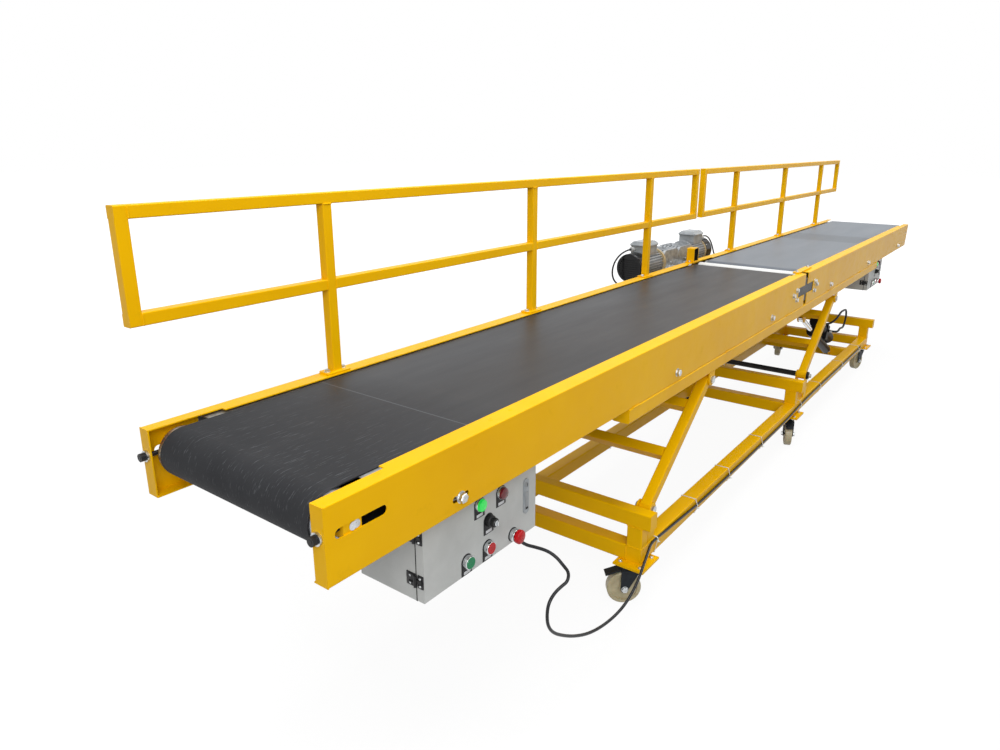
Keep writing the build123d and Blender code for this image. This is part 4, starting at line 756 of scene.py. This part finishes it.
class CONVEYOR_OT_fasteners(bpy.types.Operator):
    """Fit the bolts of the webs, the joint, the railing, the castors and the pivots"""

    bl_idname = "conveyor.fasteners"
    bl_label = "Fasteners"

    # Bolts of the joint on both webs and on the right one alone, along the deck and up
    JOINT_BOLTS = ((2968.0, 906.0), (2916.0, 886.0), (2970.0, 857.0), (3331.0, 886.0))
    RIGHT_BOLTS = ((3300.0, 906.0), (3291.0, 857.0))
    # Holes of a castor's plate round its swivel, its underside, and the axle nut's place on the wheel
    PLATE_HOLES = [(dx, dy) for dx in (-44, 44) for dy in (-39.5, 39.5)]
    PLATE_LOW = 156
    NUT_REACH = 27.2

    def execute(self, context):
        self.web_bolts()
        self.deck_bolts()
        self.castor_bolts()
        self.pivot_nuts()
        return {"FINISHED"}

    def web_bolts(self):
        """Bolts of the return axles, the joint's plates and the slider beds, on both webs."""
        form = bmesh.new()
        for side in (-1, 1):
            for x in RETURN_AXLES:
                hex_bolt(form, (x, side * HALF, RETURN_Z), (0, side, 0))
            for x, z in self.JOINT_BOLTS + (self.RIGHT_BOLTS if side < 0 else ()):
                hex_bolt(form, (x, side * HALF, z), (0, side, 0), JOINT_HEAD)
        pan_screw(form, (3110, -HALF + 9, 857), (0, -1, 0), 6)
        piece("web_bolts", form, "deck", "zinc")

    def deck_bolts(self):
        """Bolts of the railing's feet, the stub bracket and the plate over the joint."""
        form = bmesh.new()
        top = DECK_Z + FOOT
        for posts in POSTS.values():
            for x in posts:
                for step in (-28, 28):
                    hex_bolt(form, (x + step, POST_Y, top), (0, 0, 1), FOOT_HEAD)
        for x in (JOINT_X - 67, JOINT_X + 40):
            hex_bolt(form, (x, POST_Y, top), (0, 0, 1), BRACKET_HEAD)
        for x in (JOINT_X - 45, JOINT_X + 150):
            hex_bolt(form, (x, -HALF + 43, DECK_Z + 8), (0, 0, 1), FOOT_HEAD)
        piece("deck_bolts", form, "deck", "zinc")
        self.belt_adjusters()

    def belt_adjusters(self):
        """The sockets of the tension screws, and the washer of each drum axle in its slot."""
        sockets = bmesh.new()
        washers = bmesh.new()
        washer = ((9.3, -2), (9.3, 0.6), (8.6, 1.2), (3.6, 1.2), (3, 2.6), (1, 3))
        for side in (-1, 1):
            turned(sockets, at(-18.2, side * (HALF - 18), AXLE_Z), (-1, 0, 0), ((5.6, -0.1), (5.6, 0.3)), 6)
            turned(washers, at(80, side * (HALF - 3), AXLE_Z), (0, side, 0), washer, 32)
        piece("tension_sockets", sockets, "deck", "black_steel")
        piece("axle_washers", washers, "deck", "zinc")

    def castor_bolts(self):
        """Nuts on the pads, heads under the top plates, and the axle nuts of each fork."""
        form = bmesh.new()
        for name in CASTORS:
            pad = place_of(Vector(self.joint("swivel_" + name)["pos_m"]))
            for dx, dy in self.PLATE_HOLES:
                hex_bolt(form, (pad.x + dx, pad.y + dy, RAIL_LOW), (0, 0, 1), CASTOR_HEAD)
                hex_bolt(form, (pad.x + dx, pad.y + dy * 0.82, self.PLATE_LOW), (0, 0, -1), CASTOR_HEAD)
        piece("castor_plate_bolts", form, "chassis", "zinc")
        for name in CASTORS:
            roll = self.joint("roll_" + name)
            wheel, axis = place_of(Vector(roll["pos_m"])), Vector(roll["axis"])
            form = bmesh.new()
            for way in (-1, 1):
                spot = wheel + axis * way * self.NUT_REACH
                turned(form, at(*spot), axis * way, ((12.6, 0), (12.6, 1.4), (11.6, 1.8)), 24)
                turned(form, at(*spot), axis * way, ((11.4, 1.8), (11.4, 7.4), (10, 8.4), (6, 8.6)), 6)
            piece("castor_axle_nuts_" + name, form, "fork_" + name, "zinc")

    def joint(self, name):
        """A joint of the frame, by its name."""
        return next(joint for joint in frame["joints"] if joint["name"] == name)

    def pivot_nuts(self):
        """Nuts on the ends of the rear pivot shaft."""
        form = bmesh.new()
        for side, end in zip((-1, 1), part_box("rear_pivot_shaft")):
            hex_bolt(form, (PIVOTS[1], place_of(end).y, PIVOT_Z), (0, side, 0), JOINT_HEAD)
        piece("shaft_nuts", form, "chassis", "zinc")


class CONVEYOR_OT_welds(bpy.types.Operator):
    """Run the weld beads of the railing, the chassis and the sub-frame"""

    bl_idname = "conveyor.welds"
    bl_label = "Welds"

    # Places of the filled plug welds, along and across the deck
    PLUGS = ((529.0, -296.0), (611.0, -294.0))

    def execute(self, context):
        self.railing_beads()
        self.chassis_beads()
        self.flange_marks()
        return {"FINISHED"}

    def railing_beads(self):
        """Beads round each post's foot and where the rails meet the posts."""
        form = bmesh.new()
        sides = (POST_Y - POST_HALF, POST_Y + POST_HALF)
        for name, posts in POSTS.items():
            start, stop = RAILING_ENDS[name]
            for x in posts:
                edges = (x - POST_HALF, x + POST_HALF)
                frame_of_beads(form, *edges, *sides, DECK_Z + FOOT)
                for edge in edges:
                    for y in sides:
                        bead(form, (edge, y, MID_RAIL_Z), (edge, y, MID_RAIL_Z + RAILING_TUBE))
                for y in sides:
                    bead(form, (edges[0], y, TOP_RAIL_Z), (edges[1], y, TOP_RAIL_Z))
            for edge in (start + RAILING_TUBE, stop - RAILING_TUBE):
                for y in sides:
                    for low in (MID_RAIL_Z, TOP_RAIL_Z):
                        bead(form, (edge, y, low), (edge, y, low + RAILING_TUBE))
        piece("railing_welds", form, "deck", "coat")

    def chassis_beads(self):
        """Beads at the uprights, the cross members and the lugs."""
        form = bmesh.new()
        for x in STATIONS:
            for side in (-1, 1):
                y = side * RAIL_Y
                for height in (RAIL_HIGH, BEAM_Z):
                    frame_of_beads(form, x, x + UPRIGHT, y - TUBE_HALF, y + TUBE_HALF, height)
        for x in CROSS_MEMBERS:
            for side in (-1, 1):
                y = side * (RAIL_Y - TUBE_HALF)
                for edge in (x, x + CROSS_TUBE):
                    bead(form, (edge, y, RAIL_LOW + 4), (edge, y, RAIL_HIGH - 4))
                bead(form, (x + 3, y, RAIL_HIGH), (x + CROSS_TUBE - 3, y, RAIL_HIGH))
        for x in PIVOTS:
            for side in (-1, 1):
                for shift in (-27.5, 27.5):
                    y = side * RAIL_Y + shift
                    bead(form, (x - 24, y, RAIL_HIGH), (x + 24, y, RAIL_HIGH))
        piece("chassis_welds", form, "chassis", "coat")
        form = bmesh.new()
        for x in SUBFRAME_MEMBERS:
            for side in (-1, 1):
                y = side * (RAIL_Y - TUBE_HALF)
                for edge in (x, x + 50):
                    bead(form, (edge, y, SUBFRAME_Z + 4), (edge, y, CHANNEL_Z - 4))
        for x in SUBFRAME_SEATS:
            for side in (-1, 1):
                y = side * (RAIL_Y + TUBE_HALF)
                bead(form, (x + 20, y, CHANNEL_Z), (x + 70, y, CHANNEL_Z))
        piece("subframe_welds", form, "deck", "coat")

    def flange_marks(self):
        """Pairs of filled plug welds that show through the coat of the right flange."""
        form = bmesh.new()
        for x, y in self.PLUGS:
            turned(form, at(x, y, DECK_Z), (0, 0, 1),
                   ((6.5, 0.05), (6.2, 0.5), (5.0, 0.8), (4.2, 0.35), (2.0, 0.3)), 24)
        piece("plug_welds", form, "deck", "coat")


def wrap_round(points):
    """The corners of the tight loop round a set of points, in order."""
    ordered = sorted(points)
    loop = []
    for run in (ordered, ordered[::-1]):
        part = []
        for point in run:
            while len(part) > 1 and turn_of(part[-2], part[-1], point) <= 0:
                part.pop()
            part.append(point)
        loop += part[:-1]
    return loop


def turn_of(a, b, c):
    """Above zero where the way from a by b to c turns left."""
    return (b[0] - a[0]) * (c[1] - a[1]) - (b[1] - a[1]) * (c[0] - a[0])


class CONVEYOR_OT_ties(bpy.types.Operator):
    """Strap the supply cable to the rails with cable ties"""

    bl_idname = "conveyor.ties"
    bl_label = "Cable ties"

    # Where each tie sits along the near rail, and the height of the cable there
    NEAR_TIES = ((1452.0, 225.2), (1818.0, 201.9), (2180.0, 194.9), (2622.0, 191.6), (3282.0, 204.5),
                 (3681.0, 209.4), (4230.0, 204.5), (4715.0, 202.8))
    FAR_TIES = (1500.0, 2180.0, 2900.0, 3681.0, 4700.0)
    CABLE_Y = -332.2
    CABLE_RADIUS = 5.6
    SLACK = 0.6

    def execute(self, context):
        form = bmesh.new()
        for x, cable_z in self.NEAR_TIES:
            corners = self.rail_corners(-RAIL_Y)
            for index in range(16):
                angle = 2 * math.pi * index / 16
                corners.append((self.CABLE_Y + self.CABLE_RADIUS * math.cos(angle),
                                cable_z + self.CABLE_RADIUS * math.sin(angle)))
            self.strap(form, x, corners)
            self.head(form, x, self.CABLE_Y - 6.2, cable_z - 9)
        for x in self.FAR_TIES:
            self.strap(form, x, self.rail_corners(RAIL_Y))
            self.head(form, x, RAIL_Y - 32.6, RAIL_HIGH - 18)
        piece("cable_ties", form, "chassis", "tie")
        return {"FINISHED"}

    def rail_corners(self, middle):
        """The corners of a chassis rail's section, with a little slack round them."""
        reach = TUBE_HALF + self.SLACK
        return [(y, z) for y in (middle - reach, middle + reach)
                for z in (RAIL_LOW - self.SLACK, RAIL_HIGH + self.SLACK)]

    def strap(self, form, x, corners):
        """One closed strap drawn tight round the given places of its section."""
        half = bpy.context.scene.conveyor_hardware.tie / MM / 2
        loop = wrap_round(corners)
        middle = (sum(y for y, z in loop) / len(loop), sum(z for y, z in loop) / len(loop))
        rings = []
        for y, z in loop:
            away = Vector((y - middle[0], z - middle[1])).normalized() * 1.2
            rings.append([form.verts.new(at(x + dx, y + away.x * share, z + away.y * share))
                          for dx, share in ((-half, 0), (half, 0), (half, 1), (-half, 1))])
        for index, ring in enumerate(rings):
            after = rings[(index + 1) % len(rings)]
            for corner in range(4):
                beside = (corner + 1) % 4
                form.faces.new((ring[corner], ring[beside], after[beside], after[corner]))

    def head(self, form, x, y, z):
        """The ratchet head of a tie with its cut tail."""
        slab(form, (x - 4, y - 3, z - 4), (x + 4, y + 2, z + 4), 0.8)
        slab(form, (x - 2.4, y - 9, z - 1.2), (x + 2.4, y - 2.5, z), 0.3)


class CONVEYOR_OT_controls(bpy.types.Operator):
    """Finish the switch boxes: buttons, lamps, legends, latches and hinges"""

    bl_idname = "conveyor.controls"
    bl_label = "Controls"

    HEADS = {"green_lamp": "green_lamp", "red_lamp": "red_lamp", "knob": "black_cap", "mushroom": "red_cap",
             "red_button": "red_cap", "green_button": "green_cap"}
    OUT = (0, -1, 0)
    LEGEND_HALF = 19.8
    # Profiles that stand on the door, as radii and reaches
    COLLAR = ((17.6, 1), (18, 3), (17.6, 14), (17, 15), (15.8, 15), (15.6, 9))
    CAP = ((15.4, 8), (15.4, 15.6), (14.6, 16.6), (6, 16.4))
    LAMP_COLLAR = ((18, 1), (18, 6), (17, 8), (15.6, 7))
    LENS = ((16, 5), (16, 11), (15, 14), (11, 16.6), (5, 17.8), (0.8, 18))
    STOP_HEAD = ((19.4, 23), (19.4, 27), (17.4, 30.4), (11, 32.6), (1.0, 33.2))
    KNOB = ((16, 1), (16, 12), (14.6, 14), (12.4, 15), (12.4, 24), (11, 26))
    KEY = ((7.6, 25), (7.6, 28.4), (6.6, 29.4), (1.6, 29.4))
    LATCH_ROSE = ((7.5, 0), (7.5, 1.8), (6.5, 2.4), (3, 2.4), (2.6, 0.6))

    def execute(self, context):
        for name, x0 in BOXES:
            self.colour_heads(name, x0)
            self.legends(name, x0)
            self.caps(name, x0)
            self.latch(name, x0)
            self.seal(name, x0)
            self.hinges(name, x0)
        return {"FINISHED"}

    def colour_heads(self, name, x0):
        """Colour the heads and bezels that stand on the door."""
        node = "control_door_" + name
        bezel_y = DOOR_Y - BEZEL_REACH
        for kind, distance, height, radius in CONTROLS:
            centre = Vector((x0 + distance, BOX_LOW + height))
            stem = radius + 0.6
            paint_where(node, "bezel",
                        lambda spot: spot.y < DOOR_Y - 0.2 and near(spot, centre, BEZEL_RADIUS))
            paint_where(node, self.HEADS[kind],
                        lambda spot: spot.y < bezel_y - 0.2 and near(spot, centre, stem))
        latch_x = x0 + LATCH_X
        paint_where(node, "terminal", lambda spot: spot.y < DOOR_Y - 0.2 and abs(spot.x - latch_x) < 12)
        paint_where(node, "black_steel", lambda spot: spot.x < x0 - 0.1)
        paint_where("control_box_" + name, "black_steel", lambda spot: spot.x < x0 - 0.1)

    def legends(self, name, x0):
        """Black legend plates round each collar, with a blank pale field under it."""
        plates = bmesh.new()
        fields = bmesh.new()
        half = self.LEGEND_HALF
        for kind, distance, height, _ in CONTROLS:
            x, z = x0 + distance, BOX_LOW + height
            turned(plates, at(x, DOOR_Y + 0.2, z), self.OUT, ((half, 0), (half, 1.5), (half - 0.5, 1.9)), 40)
            if kind != "mushroom":
                slab(plates, (x - half, DOOR_Y - 1.5, z - 37), (x + half, DOOR_Y + 0.2, z), 0.5)
                slab(fields, (x - 12, DOOR_Y - 1.9, z - 34), (x + 12, DOOR_Y - 1.3, z - 26), 0.2)
        piece("legend_plates_" + name, plates, "door_" + name, "legend")
        piece("legend_fields_" + name, fields, "door_" + name, "label")

    def caps(self, name, x0):
        """Chromed collars with their flat caps and lenses, the stop head and the knob with its key."""
        forms = {"bezel": bmesh.new()}
        for kind, distance, height, _ in CONTROLS:
            form = forms.setdefault(self.HEADS[kind], bmesh.new())
            x, z = x0 + distance, BOX_LOW + height
            face = at(x, DOOR_Y, z)
            if kind.endswith("lamp"):
                turned(forms["bezel"], face, self.OUT, self.LAMP_COLLAR, 40)
                turned(form, face, self.OUT, self.LENS, 40)
            elif kind == "knob":
                turned(form, face, self.OUT, self.KNOB, 40, 0.9)
                turned(forms["bezel"], face, self.OUT, self.KEY, 24)
                slab(forms["bezel"], (x - 2, DOOR_Y - 33, z - 6), (x + 2, DOOR_Y - 29, z + 6), 0.8)
            else:
                turned(forms["bezel"], face, self.OUT, self.COLLAR, 40)
                turned(form, face, self.OUT, self.STOP_HEAD if kind == "mushroom" else self.CAP, 40)
        for finish, form in forms.items():
            piece("control_%s_%s" % (finish, name), form, "door_" + name, finish)

    def latch(self, name, x0):
        """The paddle and the keyhole of the door's latch."""
        form = bmesh.new()
        x, low = x0 + LATCH_X, BOX_LOW + 64
        slab(form, (x - 6.5, DOOR_Y - 5.6, low + 12), (x + 6.5, DOOR_Y - 3.8, low + 66), 0.8)
        turned(form, at(x, DOOR_Y - 3.8, low + 86), self.OUT, self.LATCH_ROSE, 28)
        piece("latch_paddle_" + name, form, "door_" + name, "motor_paint")
        # The black slit on the rose stands for the keyhole's opening: painted shade in it. The second black
        # slab marks the paddle's lower end
        form = bmesh.new()
        slab(form, (x - 1, DOOR_Y - 6.5, low + 81), (x + 1, DOOR_Y - 6.0, low + 91), 0.2)
        slab(form, (x - 5, DOOR_Y - 5.9, low + 14), (x + 5, DOOR_Y - 5.4, low + 20), 0.2)
        piece("latch_keyhole_" + name, form, "door_" + name, "rubber")

    def seal(self, name, x0):
        """The rubber seal on the box's rim, which shows as a dark line behind the door."""
        form = bmesh.new()
        low, high = BOX_LOW - 0.4, CHANNEL_Z - 5
        start, stop = x0 - 0.5, x0 + BOX_WIDTH + 0.5
        for a, b in (((start, low), (start + 8, high)), ((stop - 8, low), (stop, high)),
                     ((start + 8, low), (stop - 8, low + 7)), ((start + 8, high - 7), (stop - 8, high))):
            slab(form, (a[0], BOX_FRONT_Y - 0.9, a[1]), (b[0], BOX_FRONT_Y + 1.9, b[1]), 0.3)
        piece("door_seal_" + name, form, "deck", "rubber")

    def hinges(self, name, x0):
        """Black hinge leaves with their zinc screws on the box and the door."""
        leaves = {"deck": bmesh.new(), "door_" + name: bmesh.new()}
        screws = {body: bmesh.new() for body in leaves}
        for z in (BOX_LOW + 41, CHANNEL_Z - 75.5):
            for body, y0, y1 in (("deck", BOX_FRONT_Y + 3, BOX_FRONT_Y + 30),
                                 ("door_" + name, DOOR_Y + 0.6, BOX_FRONT_Y - 6)):
                slab(leaves[body], (x0 - 3, y0, z - 2), (x0 + 0.1, y1, z + 32), 0.6)
                for dz in (5, 25):
                    pan_screw(screws[body], (x0 - 3, (y0 + y1) / 2, z + dz), (-1, 0, 0), 3.4)
        for body in leaves:
            tag = name + ("_fixed" if body == "deck" else "_door")
            piece("hinge_leaf_" + tag, leaves[body], body, "black_steel")
            piece("hinge_screws_" + tag, screws[body], body, "zinc")


def near(spot, centre, reach):
    """Whether a place on a door lies within reach of a control's centre."""
    return math.hypot(spot.x - centre[0], spot.z - centre[1]) < reach


class CONVEYOR_OT_drives(bpy.types.Operator):
    """Finish the gearmotors: bands, terminal lids, cover screws and plugs"""

    bl_idname = "conveyor.drives"
    bl_label = "Drives"

    # Radii of the bolt circles on the gearbox and of the cowl's rim
    COVER_CIRCLE = 45
    FLANGE_CIRCLE = 58
    COWL_RADIUS = 76.6

    def execute(self, context):
        bands = bmesh.new()
        screws = bmesh.new()
        gasket = bmesh.new()
        for _, axle_x, way in DRIVES:
            case_end = axle_x + way * (GEARBOX_HALF + CASE_END)
            turned(bands, at(case_end - way * 9, DRIVE_Y, WORM_Z), (way, 0, 0),
                   ((70, 0), (75, 0.6), (75.6, 4), (75, 8.4), (70, 9)), 56)
            self.cover_screws(screws, axle_x)
            self.cowl_screws(screws, case_end, way)
            self.lid(screws, gasket, axle_x, way)
        piece("motor_bands", bands, "deck", "tan_band")
        piece("drive_screws", screws, "deck", "zinc")
        piece("lid_gaskets", gasket, "deck", "rubber")
        self.plugs()
        return {"FINISHED"}

    def cover_screws(self, form, axle_x):
        """Six screws round the gearbox's output cover and six round the flange behind it."""
        for index in range(6):
            angle = math.radians(30 + 60 * index)
            for circle, y, side, head in ((self.COVER_CIRCLE, DRIVE_Y + 72, 1, COVER_HEAD),
                                          (self.FLANGE_CIRCLE, DRIVE_Y - 65, -1, BRACKET_HEAD)):
                x, z = axle_x + circle * math.cos(angle), AXLE_Z + circle * math.sin(angle)
                hex_bolt(form, (x, y, z), (0, side, 0), head)

    def cowl_screws(self, form, case_end, way):
        """Three screws that hold the cowl to the case."""
        for degrees in (30, 150, 270):
            angle = math.radians(degrees)
            out = Vector((0, math.cos(angle), math.sin(angle)))
            rim = out * self.COWL_RADIUS
            pan_screw(form, (case_end + way * 9, DRIVE_Y + rim.y, WORM_Z + rim.z), out, 4)

    def lid(self, screws, gasket, axle_x, way):
        """The rubber seal under the terminal lid and its corner screws."""
        start, stop = sorted(axle_x + way * (GEARBOX_HALF + edge) for edge in TERMINAL_BOX)
        slab(gasket, (start + 6, DRIVE_Y - 49, LID_SEAM_Z - 2.4),
             (stop - 6, DRIVE_Y + 49, LID_SEAM_Z + 0.2), 0.6)
        for x in (start + 27, stop - 27):
            for dy in (-28, 28):
                pan_screw(screws, (x, DRIVE_Y + dy, LID_SEAM_Z + 21.8), (0, 0, 1), 4)

    def plugs(self):
        """Oil plugs and the breather on the gearboxes."""
        form = bmesh.new()
        for _, axle_x, way in DRIVES:
            turned(form, at(axle_x - way * 40, DRIVE_Y, WORM_Z + 66), (0, 0, 1),
                   ((11, -7), (11, 2), (9.6, 2.6), (9.6, 8), (8.4, 9)), 6)
            turned(form, at(axle_x + way * 30, DRIVE_Y + 65, WORM_Z + 20), (0, 1, 0),
                   ((10, 0), (10, 5), (8.8, 6.4), (4, 6.6)), 6)
        piece("oil_plugs", form, "deck", "cast_alloy")


def seen_directly(tree):
    """One for the camera's rays and for what they meet in a reflection or through a clear piece."""
    rays = add(tree, "ShaderNodeLightPath")
    clear = add(tree, "ShaderNodeMath", {"operation": "MAXIMUM"},
                {0: rays.outputs["Is Glossy Ray"], 1: rays.outputs["Is Transmission Ray"]})
    return add(tree, "ShaderNodeMath", {"operation": "MAXIMUM"},
               {0: rays.outputs["Is Camera Ray"], 1: clear})


class CONVEYOR_OT_studio(bpy.types.Operator):
    """Set up the floor, the lamps and the world"""

    bl_idname = "conveyor.studio"
    bl_label = "Studio"

    # Lamps: name, place, aim and size in metres, full power in watts
    LAMPS = (
        ("lamp_key", (-5.2, -3.0, 3.4), (-0.4, 0, 0.8), (3, 2.5), 215),
        ("lamp_over", (-0.9, -0.5, 4.8), (-0.9, 0, 0.8), (6, 2.5), 285),
        ("lamp_far", (2.9, -0.6, 4.8), (2.6, 0, 0.8), (3, 2.5), 110),
    )
    # Radii in metres between which the floor's glow grows to full white
    FADE = (2.5, 6.0)
    FLOOR_SIZE = 40

    def execute(self, context):
        self.world(context.scene.conveyor_studio.sky)
        self.floor()
        for name, spot, aim, size, power in self.LAMPS:
            self.lamp(name, spot, aim, size, power * context.scene.conveyor_studio.lamps)
        context.scene.view_settings.view_transform = "Standard"
        return {"FINISHED"}

    def lamp(self, name, spot, aim, size, power):
        """A soft rectangular lamp that points at a place."""
        data = bpy.data.lights.new(name, "AREA")
        data.shape = "RECTANGLE"
        data.size, data.size_y = size
        data.energy = power
        lamp = show(name, data)
        spot, aim = Vector(spot), Vector(aim)
        turn = (aim - spot).to_track_quat("-Z", "Y").to_matrix().to_4x4()
        lamp.matrix_world = Matrix.Translation(spot) @ turn

    def world(self, strength):
        """Soft light all round that shows as white to the camera and in reflections."""
        world = bpy.data.worlds.new("studio")
        bpy.context.scene.world = world
        world.use_nodes = True
        tree = world.node_tree
        tree.nodes.clear()
        soft = add(tree, "ShaderNodeBackground", {"Color": (1, 1, 1, 1), "Strength": strength})
        white = add(tree, "ShaderNodeBackground", {"Color": (1, 1, 1, 1), "Strength": 1.0})
        both = add(tree, "ShaderNodeMixShader",
                   links={"Fac": seen_directly(tree), 1: soft, 2: white})
        add(tree, "ShaderNodeOutputWorld", links={"Surface": both})

    def floor(self):
        """White paper that keeps the conveyor's shadow and fades into the background."""
        mesh = bpy.data.meshes.new("studio_floor")
        form = bmesh.new()
        bmesh.ops.create_grid(form, x_segments=1, y_segments=1, size=self.FLOOR_SIZE)
        form.to_mesh(mesh)
        form.free()
        floor = show("studio_floor", mesh)
        material, tree = new_tree("studio_paper")
        spot = add(tree, "ShaderNodeTexCoord")
        away = add(tree, "ShaderNodeVectorMath", {"operation": "LENGTH"}, {0: spot.outputs["Object"]})
        fade = {"From Min": self.FADE[0], "From Max": self.FADE[1], "To Min": 0.78, "To Max": 1.0}
        share = add(tree, "ShaderNodeMapRange", fade, {"Value": away.outputs["Value"]})
        seen = add(tree, "ShaderNodeMath", {"operation": "MULTIPLY"},
                   {0: seen_directly(tree), 1: share})
        # The paper's fibres show as a grain of 20 mm
        grain = add(tree, "ShaderNodeTexNoise", {"Scale": 1 / 0.02}, {"Vector": spot.outputs["Object"]})
        tone = add(tree, "ShaderNodeValToRGB", links={"Fac": grain},
                   stops=((0.3, 0.3), (0.7, 0.34)))
        paper = add(tree, "ShaderNodeBsdfDiffuse", links={"Color": tone})
        glow = add(tree, "ShaderNodeEmission", {"Color": (1, 1, 1, 1), "Strength": 1.2})
        both = add(tree, "ShaderNodeMixShader",
                   links={"Fac": seen, 1: paper, 2: glow})
        mesh.materials.append(surfaced(material, both))


PIECES = (CONVEYOR_OT_camera, CONVEYOR_OT_finishes, CONVEYOR_OT_cables, CONVEYOR_OT_fasteners,
          CONVEYOR_OT_welds, CONVEYOR_OT_ties, CONVEYOR_OT_controls, CONVEYOR_OT_drives,
          CONVEYOR_OT_studio)


class VIEW3D_PT_conveyor(bpy.types.Panel):
    """The conveyor's settings and steps in the sidebar"""

    bl_label = "Conveyor"
    bl_space_type = "VIEW_3D"
    bl_region_type = "UI"
    bl_category = "Conveyor"

    def draw(self, context):
        column = self.layout.column()
        scene = context.scene
        for group in (scene.conveyor_finish, scene.conveyor_hardware, scene.conveyor_studio):
            for name in group.bl_rna.properties.keys():
                if name not in ("rna_type", "name"):
                    column.prop(group, name)
        for step in PIECES:
            column.operator(step.bl_idname)


CLASSES = (ConveyorFinish, ConveyorHardware, ConveyorStudio, *PIECES, VIEW3D_PT_conveyor)


def register():
    for cls in CLASSES:
        bpy.utils.register_class(cls)
    bpy.types.Scene.conveyor_finish = PointerProperty(type=ConveyorFinish)
    bpy.types.Scene.conveyor_hardware = PointerProperty(type=ConveyorHardware)
    bpy.types.Scene.conveyor_studio = PointerProperty(type=ConveyorStudio)


def unregister():
    del bpy.types.Scene.conveyor_studio
    del bpy.types.Scene.conveyor_hardware
    del bpy.types.Scene.conveyor_finish
    for cls in reversed(CLASSES):
        bpy.utils.unregister_class(cls)


def main():
    register()
    bpy.ops.conveyor.camera()
    bpy.ops.conveyor.finishes()
    bpy.ops.conveyor.cables()
    bpy.ops.conveyor.fasteners()
    bpy.ops.conveyor.welds()
    bpy.ops.conveyor.ties()
    bpy.ops.conveyor.controls()
    bpy.ops.conveyor.drives()
    bpy.ops.conveyor.studio()


if __name__ == "__main__":
    main()
